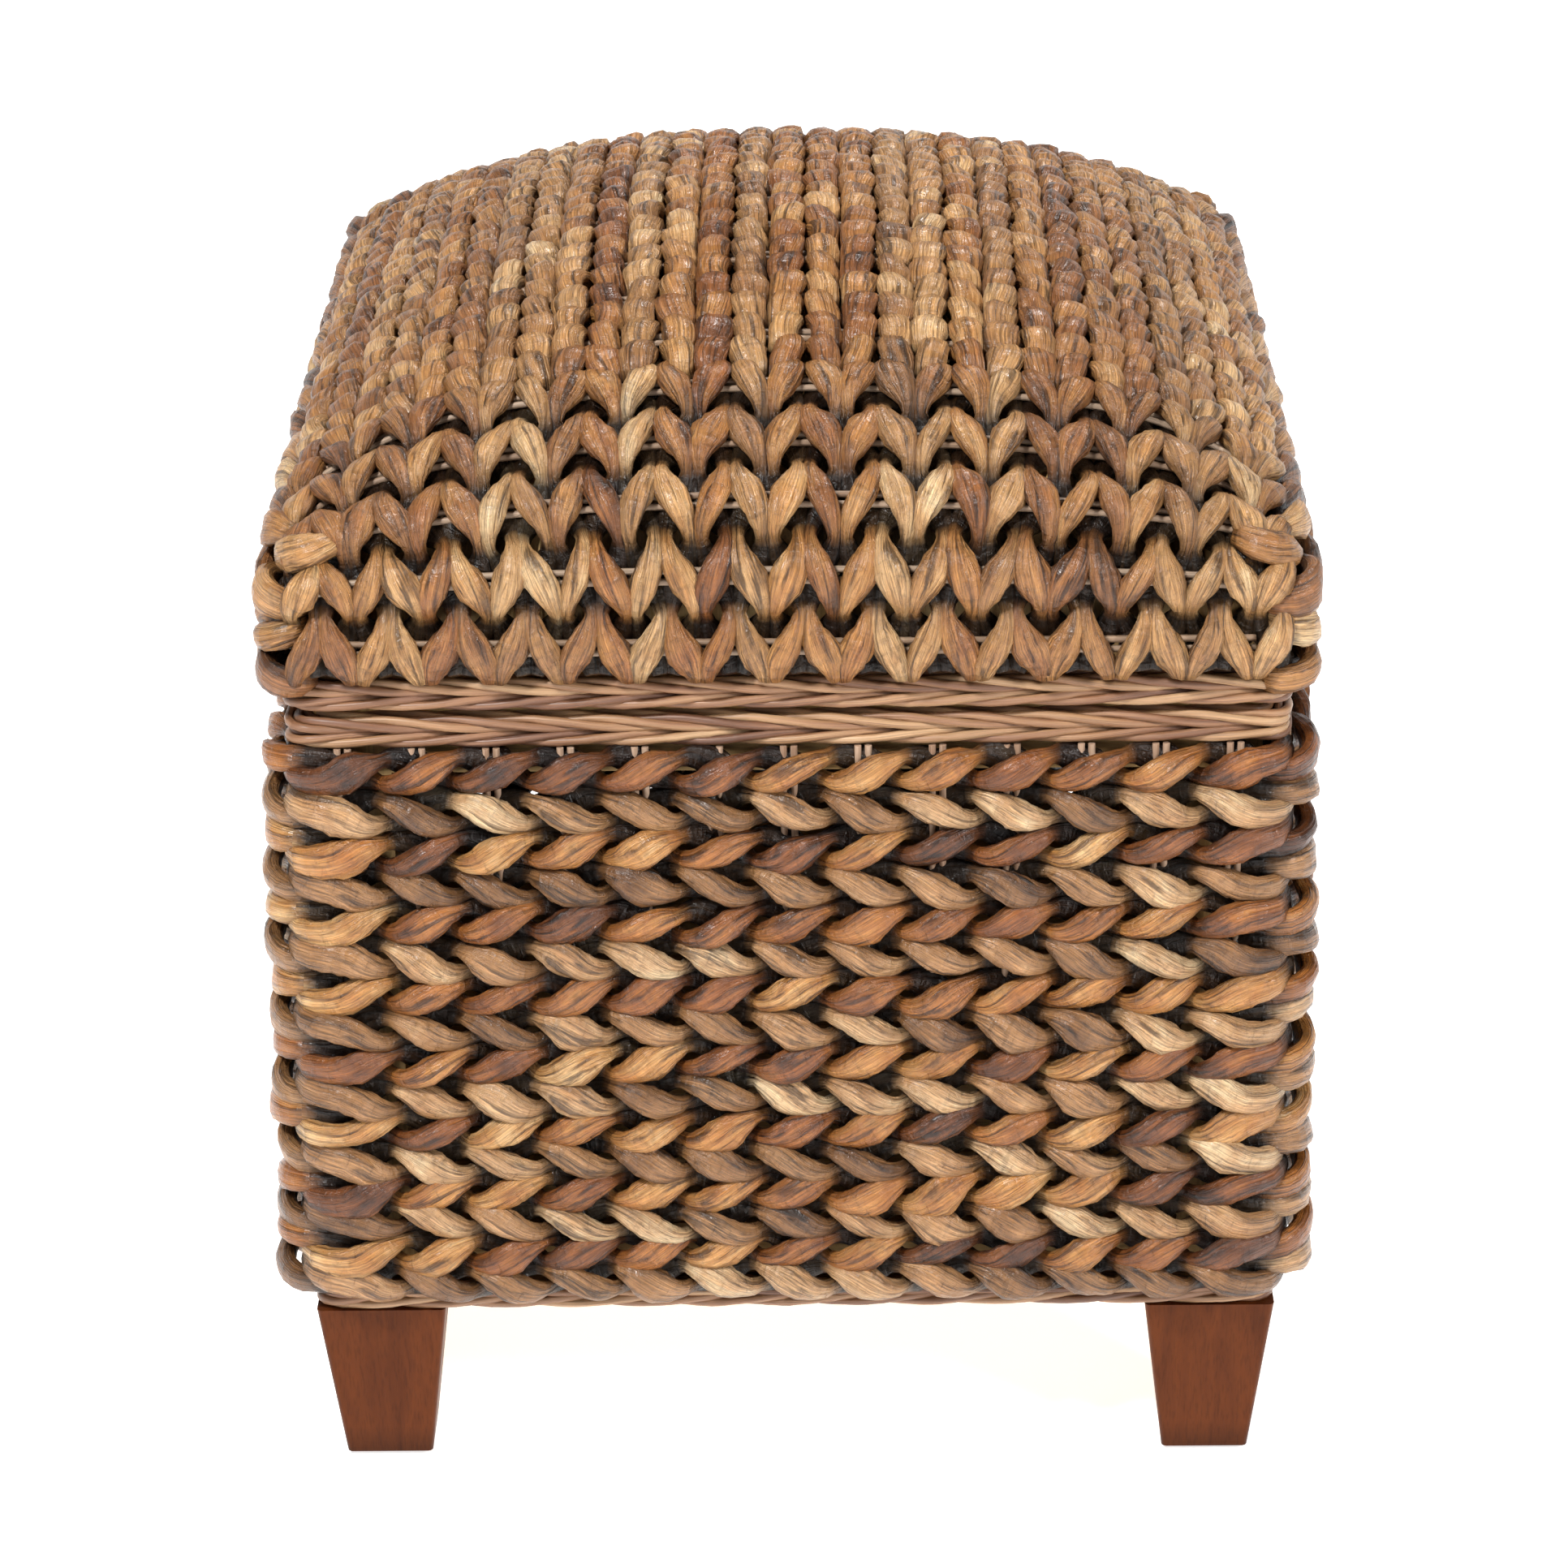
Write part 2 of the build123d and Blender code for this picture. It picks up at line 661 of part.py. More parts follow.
# ---- screws: hinge and stay fixings on the body ----
with BuildPart() as screws_body:
    with BuildSketch(Plane.XY.offset(body_top + leaf_thickness)):
        with Locations(*[(x, rail_mid_y) for x in hinge_screw_x]):
            Circle(screw_radius)
    extrude(amount=-screw_depth - leaf_thickness)
    with BuildSketch(Plane.XY.offset(body_top)):
        with Locations(*[(x, rail_mid_y) for x in hinge_screw_x]):
            Circle(screw_head_radius)
    extrude(amount=leaf_thickness)
    for side in (-1, 1):
        with BuildSketch(Plane.YZ.offset(side * (rail_inner - plate_thickness))):
            with Locations(*[(y, plate_screw_z) for y in plate_screw_y]):
                Circle(screw_radius)
        extrude(amount=side * (plate_thickness + 10.0))
        with BuildSketch(Plane.YZ.offset(side * (rail_inner - plate_thickness))):
            with Locations(*[(y, plate_screw_z) for y in plate_screw_y]):
                Circle(screw_head_radius)
        extrude(amount=-side * 0.8)
screws_body.part.label = "screws_body"
export_step(screws_body.part, "parts/screws_body.step")

# ---- screws: hinge and stay fixings on the lid ----
with BuildPart() as screws_lid:
    with BuildSketch(Plane.XY.offset(lid_leaf_low)):
        with Locations(*[(x, rail_mid_y) for x in hinge_screw_x]):
            Circle(screw_radius)
    extrude(amount=screw_depth + leaf_thickness)
    with BuildSketch(Plane.XY.offset(lid_leaf_low)):
        with Locations(*[(x, rail_mid_y) for x in hinge_screw_x]):
            Circle(screw_head_radius)
    extrude(amount=leaf_thickness)
    for side in (-1, 1):
        with BuildSketch(Plane.XY.offset(lid_base - plate_thickness)):
            with Locations(*[(side * rail_mid, y) for y in bracket_screw_y]):
                Circle(screw_radius)
        extrude(amount=plate_thickness + screw_depth)
        with BuildSketch(Plane.XY.offset(lid_base - plate_thickness)):
            with Locations(*[(side * rail_mid, y) for y in bracket_screw_y]):
                Circle(screw_head_radius)
        extrude(amount=plate_thickness)
screws_lid.part.label = "screws_lid"
export_step(screws_lid.part, "parts/screws_lid.step")
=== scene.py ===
import math
import bpy
import numpy as np
from mathutils import Matrix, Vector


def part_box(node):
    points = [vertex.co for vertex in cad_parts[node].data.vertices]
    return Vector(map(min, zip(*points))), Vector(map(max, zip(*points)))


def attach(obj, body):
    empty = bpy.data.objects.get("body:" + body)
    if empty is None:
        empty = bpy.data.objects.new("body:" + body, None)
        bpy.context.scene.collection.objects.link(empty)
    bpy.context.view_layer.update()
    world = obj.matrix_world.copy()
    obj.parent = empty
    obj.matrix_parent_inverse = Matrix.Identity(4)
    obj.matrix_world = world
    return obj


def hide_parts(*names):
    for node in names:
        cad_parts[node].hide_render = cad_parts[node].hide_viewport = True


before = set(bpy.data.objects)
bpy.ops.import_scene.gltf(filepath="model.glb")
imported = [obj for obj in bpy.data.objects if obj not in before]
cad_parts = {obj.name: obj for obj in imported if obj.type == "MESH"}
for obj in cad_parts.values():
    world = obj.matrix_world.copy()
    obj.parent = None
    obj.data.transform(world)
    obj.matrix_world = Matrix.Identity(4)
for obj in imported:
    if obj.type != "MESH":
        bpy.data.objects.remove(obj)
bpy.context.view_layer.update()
rng = np.random.default_rng(11)

# ---------------------------------------------------------------------------
# Wooden frame: planed softwood posts and rails, sawn square, glued and
# screwed into an open box, with three curved ribs across the lid. Bare wood.
# ---------------------------------------------------------------------------


def hex_linear(code):
    """Linear colour of an sRGB hex code: c/12.92 below 0.04045, else ((c+0.055)/1.055)^2.4."""
    c = np.array([int(code[k:k + 2], 16) for k in (1, 3, 5)]) / 255
    c = np.where(c <= 0.04045, c / 12.92, ((c + 0.055) / 1.055) ** 2.4)
    return (float(c[0]), float(c[1]), float(c[2]), 1.0)


def material(name):
    """An empty node material with its output; returns the material and an add-node function."""
    made = bpy.data.materials.new(name)
    made.use_nodes = True
    tree = made.node_tree
    tree.nodes.clear()

    def add(kind, inputs=None, **settings):
        node = tree.nodes.new(kind)
        for key, value in settings.items():
            setattr(node, key, value)
        for key, value in (inputs or {}).items():
            if isinstance(value, bpy.types.NodeSocket):
                tree.links.new(value, node.inputs[key])
            else:
                node.inputs[key].default_value = value
        return node

    return made, add


def ramp(add, fac, stops):
    """Colour ramp through (position, hex) stops."""
    node = add("ShaderNodeValToRGB", {"Fac": fac})
    ends = node.color_ramp.elements
    for element, (position, code) in zip((ends[0], ends[1]), (stops[0], stops[-1])):
        element.position = position
        element.color = hex_linear(code)
    for position, code in stops[1:-1]:
        ends.new(position).color = hex_linear(code)
    return node.outputs["Color"]


def noise(add, place, scale, detail, roughness=0.5, distortion=0.0):
    """Noise read at place times scale, where scale is per metre along each axis."""
    at = add("ShaderNodeMapping", {"Vector": place, "Scale": scale}).outputs["Vector"]
    return add("ShaderNodeTexNoise", {"Vector": at, "Scale": 1.0, "Detail": detail, "Roughness": roughness,
                                      "Distortion": distortion}).outputs["Fac"]


def spread(add, value, low, high, to_low, to_high):
    """A value taken from the range low to high into the range to_low to to_high, held at the ends."""
    return add("ShaderNodeMapRange", {"Value": value, "From Min": low, "From Max": high, "To Min": to_low,
                                      "To Max": to_high}).outputs[0]


def maths(add, operation, first, second, third=0.0):
    """One sum on two or three values."""
    return add("ShaderNodeMath", {0: first, 1: second, 2: third}, operation=operation).outputs[0]


def shaded(add, colour, shade):
    """A colour times a shade."""
    return add("ShaderNodeVectorMath", {0: colour, "Scale": shade}, operation="SCALE").outputs[0]


def relief(add, height, strength, depth):
    """Surface relief from a height, depth in metres."""
    return add("ShaderNodeBump", {"Height": height, "Strength": strength, "Distance": depth}).outputs[0]


def surface(add, settings):
    """The shader with these settings, joined to the material's output."""
    shader = add("ShaderNodeBsdfPrincipled", settings)
    add("ShaderNodeOutputMaterial", {"Surface": shader.outputs[0]})


def dress(names, finish):
    """Gives these CAD nodes their finish."""
    for name in names:
        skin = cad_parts[name].data
        skin.materials.clear()
        skin.materials.append(finish)


FIGURE_ACROSS, FIGURE_ALONG = 92.0, 5.0
PORES_ACROSS, PORES_ALONG = 1100.0, 55.0
FLOOR_SHADE_FROM, FLOOR_SHADE_TO = 0.002, 0.017


def grain_wood(name, axis, stops, roughness, coat, foot_shade=0.0):
    """Wood with its grain along one axis: broad figure from noise stretched 18 times along the
    grain, pores stretched 20 times. foot_shade darkens the last 15 mm above the floor as painted shade."""
    wood, add = material(name)
    place = add("ShaderNodeTexCoord").outputs["Object"]
    figure_scale = [FIGURE_ACROSS] * 3
    figure_scale[axis] = FIGURE_ALONG
    figure = noise(add, place, figure_scale, 4.0, 0.58, 0.5)
    pore_scale = [PORES_ACROSS] * 3
    pore_scale[axis] = PORES_ALONG
    pores = noise(add, place, pore_scale, 2.0)
    height = add("ShaderNodeSeparateXYZ", {"Vector": place}).outputs["Z"]
    # Painted shade: darker towards the floor, standing in for the shadow where the wood meets it.
    foot = spread(add, height, FLOOR_SHADE_FROM, FLOOR_SHADE_TO, 1.0 - foot_shade, 1.0)
    dark = maths(add, "MULTIPLY", spread(add, pores, 0.34, 0.5, 0.8, 1.0), foot)
    bump = relief(add, maths(add, "MULTIPLY_ADD", figure, 0.6, pores), 0.35, 0.0004)
    surface(add, {"Base Color": shaded(add, ramp(add, figure, stops), dark), "Roughness": roughness,
                  "Normal": bump, "Coat Weight": coat, "Coat Roughness": 0.18, "Specular IOR Level": 0.08})
    return wood


FRAME_TONES = [(0.3, "#9C7547"), (0.45, "#BE9764"), (0.58, "#CDA974"), (0.75, "#B68C58")]
pine_across = grain_wood("planed_softwood_rails_across", 0, FRAME_TONES, 0.6, 0.0)
pine_deep = grain_wood("planed_softwood_rails_front_to_back", 1, FRAME_TONES, 0.6, 0.0)
pine_up = grain_wood("planed_softwood_posts", 2, FRAME_TONES, 0.6, 0.0)
dress(["rail_top_front", "rail_top_back", "rail_bottom_front", "rail_bottom_back",
       "lid_rail_front", "lid_rail_back"], pine_across)
dress(["rail_top_left", "rail_top_right", "rail_bottom_left", "rail_bottom_right",
       "lid_rail_left", "lid_rail_right", "lid_ribs"], pine_deep)
dress(["post_front_left", "post_front_right", "post_back_left", "post_back_right"], pine_up)

# ---------------------------------------------------------------------------
# Legs: four square hardwood blocks tapering to the floor, stained a red-brown
# mahogany and lacquered, each on a hanger bolt with a nylon glide below.
# ---------------------------------------------------------------------------
LEG_TONES = [(0.3, "#4A230D"), (0.45, "#522810"), (0.58, "#592C11"), (0.75, "#4E250E")]
# The legs get painted shade in their last 15 mm above the floor.
mahogany = grain_wood("mahogany_stained_hardwood", 2, LEG_TONES, 0.36, 0.03, foot_shade=0.45)
dress(["leg_front_left", "leg_front_right", "leg_back_left", "leg_back_right"], mahogany)


def speckled(name, low, high, scale, roughness, metallic=0.0, stretch=1.0, bump_mm=0.05):
    """A plain finish with a fine mottle: tone and a little height from noise, scale per metre,
    stretched along x for a brushed surface."""
    made, add = material(name)
    place = add("ShaderNodeTexCoord").outputs["Object"]
    mottle = noise(add, place, (scale / stretch, scale, scale), 3.0, 0.6)
    tone = ramp(add, mottle, [(0.3, low), (0.7, high)])
    rough = spread(add, mottle, 0.0, 1.0, roughness - 0.08, roughness + 0.1)
    bump = relief(add, mottle, 0.4, bump_mm / 1000)
    surface(add, {"Base Color": tone, "Roughness": rough, "Metallic": metallic, "Normal": bump})
    return made


# Moulded nylon, pale grey, slightly matte.
dress(["foot_glides"], speckled("moulded_nylon", "#B9B7B0", "#CFCDC6", 900.0, 0.5))
# Bright zinc over turned or rolled steel, faintly drawn along the part.
zinc = speckled("zinc_plated_steel", "#8F9296", "#C4C6C8", 1500.0, 0.32, metallic=1.0, stretch=8.0)
dress(["hanger_bolts"], zinc)

# ---------------------------------------------------------------------------
# Storage floor: one 12 mm plywood panel resting on the lower rails, its birch
# face grain running from side to side.
# ---------------------------------------------------------------------------
BIRCH_TONES = [(0.3, "#B08A58"), (0.45, "#CDAA78"), (0.6, "#DABB8C"), (0.75, "#C39D6A")]
birch_ply = grain_wood("birch_faced_plywood", 0, BIRCH_TONES, 0.55, 0.1)
dress(["floor_panel"], birch_ply)

# ---------------------------------------------------------------------------
# Body canes: pairs of 3 mm peeled rattan standing upright between the borders,
# every 32 mm or so. The ropes pass in front of one pair and behind the next.
# ---------------------------------------------------------------------------


def cane_upright(name, stops):
    """Peeled rattan standing along z: fine straw-like lines under a slow change of tone about every 90 mm."""
    cane, add = material(name)
    place = add("ShaderNodeTexCoord").outputs["Object"]
    lines = noise(add, place, (1500.0, 1500.0, 30.0), 3.0)
    slow = noise(add, place, (60.0, 60.0, 11.0), 1.0)
    mixed = maths(add, "MULTIPLY_ADD", slow, 0.5, maths(add, "MULTIPLY", lines, 0.5))
    bump = relief(add, lines, 0.5, 0.0002)
    surface(add, {"Base Color": ramp(add, mixed, stops), "Roughness": 0.45, "Normal": bump})
    return cane


upright_cane = cane_upright("peeled_rattan_stakes", [(0.35, "#8A6850"), (0.5, "#AD8D74"), (0.65, "#C4A78E")])
dress(["stakes_front", "stakes_back", "stakes_left", "stakes_right"], upright_cane)

# ---------------------------------------------------------------------------
# Body weave. Each row is two ropes of dried banana leaf twisted round each
# other and round every pair of canes, one half turn from pair to pair; the
# twist changes direction from row to row, so the leaves lean / then \.
# ---------------------------------------------------------------------------
weave_lo, weave_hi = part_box("weave_front")
WEAVE_DEPTH = 0.022
MID_X = weave_hi[0] - WEAVE_DEPTH / 2
MID_Y = -weave_lo[1] - WEAVE_DEPTH / 2
CORNER = 0.014
STAKE_PITCH = 0.03175
FRONT_STAKES = 6
SIDE_STAKES = 7
BODY_ROWS = 16
STEPS = 12
AROUND = 14
ARC_POINTS = 24
RING_POINTS = 4000


def unit(v):
    """Vectors scaled to length one."""
    return v / np.linalg.norm(v, axis=-1, keepdims=True)


def rounded_walk(half_x, half_y, radius, count):
    """Evenly spaced points and distances round a rounded rectangle, front first, from the middle of
    the front left corner."""
    turn = np.linspace(0, np.pi / 2, ARC_POINTS)
    corners = [(half_x - radius, -half_y + radius, -np.pi / 2), (half_x - radius, half_y - radius, 0.0),
               (-half_x + radius, half_y - radius, np.pi / 2), (-half_x + radius, -half_y + radius, np.pi)]
    arcs = [np.stack([cx + radius * np.cos(start + turn), cy + radius * np.sin(start + turn)], 1)
            for cx, cy, start in corners]
    line = np.roll(np.concatenate(arcs), ARC_POINTS // 2, axis=0)
    line = np.concatenate([line, line[:1]])
    step = np.linalg.norm(np.diff(line, axis=0), axis=1)
    along = np.concatenate([[0], np.cumsum(step)])
    where = np.linspace(0, along[-1], count)
    return np.stack([np.interp(where, along, line[:, 0]), np.interp(where, along, line[:, 1])], 1), where


# Lumps of a rope: weight, lobes round it, and how fast each turns with the leaf's number and along the rope.
LUMP_WAVES = ((1.0, 2, 1.0, 1.0), (0.7, 3, -1.7, -0.8), (0.5, 5, 2.3, 1.9), (0.45, 2, 3.1, 4.3))
LUMP_PER_M = 210.0
LEAF_TURN = 40.0
SQUARENESS = 0.85
GIRTH = 2 * np.pi * 0.006
ROPE_APART = 0.35


def strands_mesh(name, centre, out, half_width, half_thick, roll, length, leaf, around=AROUND, lumps=0.07,
                 closed=False):
    """Ropes as one closed mesh: at each point of each centre line an oval lies across the line,
    half_width across and half_thick deep, turned by roll. centre and out are (strands, points, 3).
    A closed rope joins its last point to its first, and its length has one value more. The colour
    attribute "leaf" carries what leaf holds per point; the UV map is in metres."""
    strands, points = centre.shape[:2]
    if closed:
        ahead = unit(np.roll(centre, -1, axis=1) - np.roll(centre, 1, axis=1))
    else:
        ahead = unit(np.gradient(centre, axis=1))
    side = unit(np.cross(ahead, out))
    up = np.cross(side, ahead)
    angle = -np.pi / 2 + 2 * np.pi * np.arange(around) / around
    ca, sa = np.cos(roll)[..., None], np.sin(roll)[..., None]
    side, up = side * ca + up * sa, up * ca - side * sa
    a = angle[None, None, :]
    phase = leaf[..., 0:1] * LEAF_TURN
    wave = length[:, :points, None] * LUMP_PER_M
    bulge = 1 + lumps * sum(weight * np.sin(lobes * a + by_leaf * phase + by_length * wave)
                            for weight, lobes, by_leaf, by_length in LUMP_WAVES)
    square_cos = np.sign(np.cos(a)) * np.abs(np.cos(a)) ** SQUARENESS
    square_sin = np.sign(np.sin(a)) * np.abs(np.sin(a)) ** SQUARENESS
    across = (half_width[..., None] * bulge * square_cos)[..., None] * side[:, :, None, :]
    deep = (half_thick[..., None] * bulge * square_sin)[..., None] * up[:, :, None, :]
    verts = (centre[:, :, None, :] + across + deep).reshape(-1, 3)
    runs = points if closed else points - 1
    s, i, j = np.meshgrid(np.arange(strands), np.arange(runs), np.arange(around), indexing="ij")
    base = s * points * around
    nxt = (j + 1) % around
    step = (i + 1) % points
    quads = np.stack([base + i * around + j, base + i * around + nxt,
                      base + step * around + nxt, base + step * around + j], -1).reshape(-1, 4)
    caps = np.zeros((0, around), dtype=int)
    if not closed:
        first = (np.arange(strands) * points * around)[:, None]
        last = first + (points - 1) * around
        caps = np.concatenate([first + np.arange(around)[None, ::-1], last + np.arange(around)[None, :]])
    mesh = bpy.data.meshes.new(name)
    loops = np.concatenate([quads.ravel(), caps.ravel()])
    sizes = np.concatenate([np.full(len(quads), 4), np.full(len(caps), around)])
    mesh.vertices.add(len(verts))
    mesh.vertices.foreach_set("co", verts.ravel())
    mesh.loops.add(len(loops))
    mesh.loops.foreach_set("vertex_index", loops.astype(np.int32))
    mesh.polygons.add(len(sizes))
    mesh.polygons.foreach_set("loop_start", np.concatenate([[0], np.cumsum(sizes)[:-1]]).astype(np.int32))
    mesh.update(calc_edges=True)
    facet = GIRTH / around
    u0 = length[s.ravel(), i.ravel()]
    u1 = length[s.ravel(), i.ravel() + 1]
    v0 = j.ravel() * facet + s.ravel() * ROPE_APART
    uv = np.stack([np.stack([u0, v0], 1), np.stack([u0, v0 + facet], 1),
                   np.stack([u1, v0 + facet], 1), np.stack([u1, v0], 1)], 1).reshape(-1, 2)
    layer = mesh.uv_layers.new(name="UVMap")
    layer.data.foreach_set("uv", np.concatenate([uv, np.zeros((caps.size, 2))]).astype(np.float32).ravel())
    tint = mesh.color_attributes.new("leaf", "FLOAT_COLOR", "POINT")
    tint.data.foreach_set("color", np.repeat(leaf[:, :, None, :], around, axis=2).astype(np.float32).ravel())
    smooth = np.concatenate([np.ones(len(quads)), np.zeros(len(caps))]).astype(bool)
    mesh.polygons.foreach_set("use_smooth", smooth)
    mesh.validate()
    piece = bpy.data.objects.new(name, mesh)
    bpy.context.scene.collection.objects.link(piece)
    return piece


def per_point(values, points):
    """One value, or one for each point along the ropes, shaped to meet (rows, points, strands)."""
    return np.broadcast_to(np.asarray(values, dtype=float), (points,))[None, :, None]


def by_rope(values):
    """Values of (rows, points, 2 ropes, ...) as (ropes, points, ...), both ropes of a row together."""
    rows, points = values.shape[:2]
    return np.ascontiguousarray(np.moveaxis(values, 2, 1)).reshape((rows * 2, points) + values.shape[3:])


FAT_SPREAD = 0.34
LIFT_SPREAD = 0.0026
PROUD_SPREAD = 0.3
FLAT_PASS = 0.7
POINTED = 1.2
ROLL_PER_M = 75.0
ROLL_SPREAD = 0.5


def twine(line, out, up, theta, lean, amp, rise, wide, thick, tone_pick, warm):
    """Both ropes of each row. With h the half turns done, one rope stands amp times cos(pi h) to the
    power FLAT_PASS out and rise*sin(pi h) across, the other the same half a turn later. It is wide
    and flat where it passes outside or inside a cane pair and narrow where the two cross. Each
    leaf's own numbers change its fatness, lift, standing out and roll. Shapes are (rows, points, ...)."""
    rows, points = line.shape[:2]
    phase = np.pi * theta[None, :, None] + np.array([0.0, np.pi])[None, None, :]
    number = np.floor(theta[None, :, None] / 2 + np.array([0.0, 0.5])[None, None, :] + 0.5)
    number = np.mod(number, tone_pick.shape[1]).astype(int)
    number = np.broadcast_to(number, (rows, points, 2))
    row = np.broadcast_to(np.arange(rows)[:, None, None], number.shape)
    strand = np.broadcast_to(np.arange(2)[None, None, :], number.shape)
    picks = tone_pick[row, number, strand]
    face = np.abs(np.cos(phase))
    narrow, full_w, thin, full_t = [per_point(v, points) for v in (wide[0], wide[1], thick[0], thick[1])]
    amp, rise = per_point(amp, points), per_point(rise, points)
    fat, high, proud = [picks[..., k] - 0.5 for k in (1, 2, 3)]
    swell = 1 + FAT_SPREAD * fat * face
    lift = LIFT_SPREAD * high * face
    outward = amp * np.sign(np.cos(phase)) * face ** FLAT_PASS * (1 + PROUD_SPREAD * proud * face)
    across = lean[:, None, None] * rise * np.sin(phase) + lift
    centre = line[:, :, None, :] + out[:, :, None, :] * outward[..., None]
    centre = centre + up[:, :, None, :] * across[..., None]
    half_w = swell * (narrow + (full_w - narrow) * face ** POINTED)
    half_t = np.broadcast_to(thin + (full_t - thin) * face, half_w.shape)
    roll = ROLL_PER_M * rise * lean[:, None, None] * np.sin(phase) + ROLL_SPREAD * proud * face
    # The third channel tells how far the turn faces out; the leaf material paints shade from it where the
    # turn lies behind the canes.
    leaf = np.stack([picks[..., 0], picks[..., 1], np.broadcast_to(0.5 + 0.5 * np.cos(phase), half_w.shape),
                     np.broadcast_to(warm[:, None, None], half_w.shape)], -1)
    wide_out = np.broadcast_to(out[:, :, None, :], centre.shape)
    return [by_rope(values) for values in (centre, wide_out, half_w, half_t, roll, leaf)]


ring, ring_at = rounded_walk(MID_X, MID_Y, CORNER, RING_POINTS)
perimeter = ring_at[-1]
front_at = np.arange(-FRONT_STAKES, FRONT_STAKES + 1) * STAKE_PITCH
side_at = np.arange(-SIDE_STAKES, SIDE_STAKES + 1) * STAKE_PITCH
quarter = [2 * (MID_X - CORNER) + CORNER * np.pi / 2, 2 * (MID_Y - CORNER) + CORNER * np.pi / 2]
starts = np.cumsum([0, quarter[0], quarter[1], quarter[0]])
stake_at = np.concatenate([start + half / 2 + places for start, half, places in
                           zip(starts, quarter * 2, [front_at, side_at, front_at, side_at])])
stake_count = len(stake_at)
knots = np.concatenate([[0.0], stake_at, [perimeter]])
halves = np.concatenate([[-0.5], np.arange(stake_count), [stake_count - 0.5]])
theta = np.linspace(-0.5, stake_count - 0.5, stake_count * STEPS + 1)
where = np.interp(theta, halves, knots)
theta = theta[:-1]
walk = np.stack([np.interp(where[:-1], ring_at, ring[:, 0]), np.interp(where[:-1], ring_at, ring[:, 1])], 1)
tangent = unit(np.roll(walk, -1, axis=0) - np.roll(walk, 1, axis=0))
outward = np.stack([tangent[:, 1], -tangent[:, 0]], 1)

ROW_CROWDING = 0.12
WANDER = 0.0007
SWELL_TOP = 0.0035
SWELL_FOOT = 0.0080
CORNER_REACH = 0.018
share = (np.arange(BODY_ROWS) + 0.5) / BODY_ROWS
share = share + ROW_CROWDING * share * (1 - share)
row_z = weave_hi[2] - share * (weave_hi[2] - weave_lo[2])
turns = 2 * np.pi * where[:-1] / perimeter


def wander(waves):
    """A slow wander of each row round the body: one sine per number of waves, each from a random start."""
    return sum(WANDER * np.sin(k * turns[None, :] + rng.uniform(0, 6.28, (BODY_ROWS, 1))) for k in waves)


sway = wander((3, 7, 12, 19))
# The first and last rows stay straight against their borders.
fade = np.clip(1.2 - np.abs(np.linspace(-1, 1, BODY_ROWS))[:, None] ** 6, 0, 1)
proud = SWELL_TOP + (SWELL_FOOT - SWELL_TOP) * share
ragged = wander((5, 11, 23))
line = np.zeros((BODY_ROWS, len(theta), 3))
line[..., :2] = walk[None] + outward[None] * (proud[:, None] + ragged)[..., None]
line[..., 2] = row_z[:, None] + sway * fade
out3 = np.zeros_like(line)
out3[..., :2] = outward[None]
up3 = np.zeros_like(line)
up3[..., 2] = 1.0
lean = np.where(np.arange(BODY_ROWS) % 2 == 0, 1.0, -1.0)
body_tones = rng.uniform(0, 1, (BODY_ROWS, stake_count // 2, 2, 4))
to_corner = np.abs(where[:-1, None] - np.append(starts, perimeter)[None, :]).min(axis=1)
at_corner = np.clip(1.4 - to_corner / CORNER_REACH, 0.0, 1.0)
body_ropes = twine(line, out3, up3, theta, lean, amp=0.0060, rise=0.0052 - 0.0014 * at_corner,
                   wide=(0.0034 + 0.0026 * at_corner, 0.0074), thick=(0.0030 + 0.0014 * at_corner, 0.0044),
                   tone_pick=body_tones, warm=np.where(lean > 0, 0.9, 0.1))
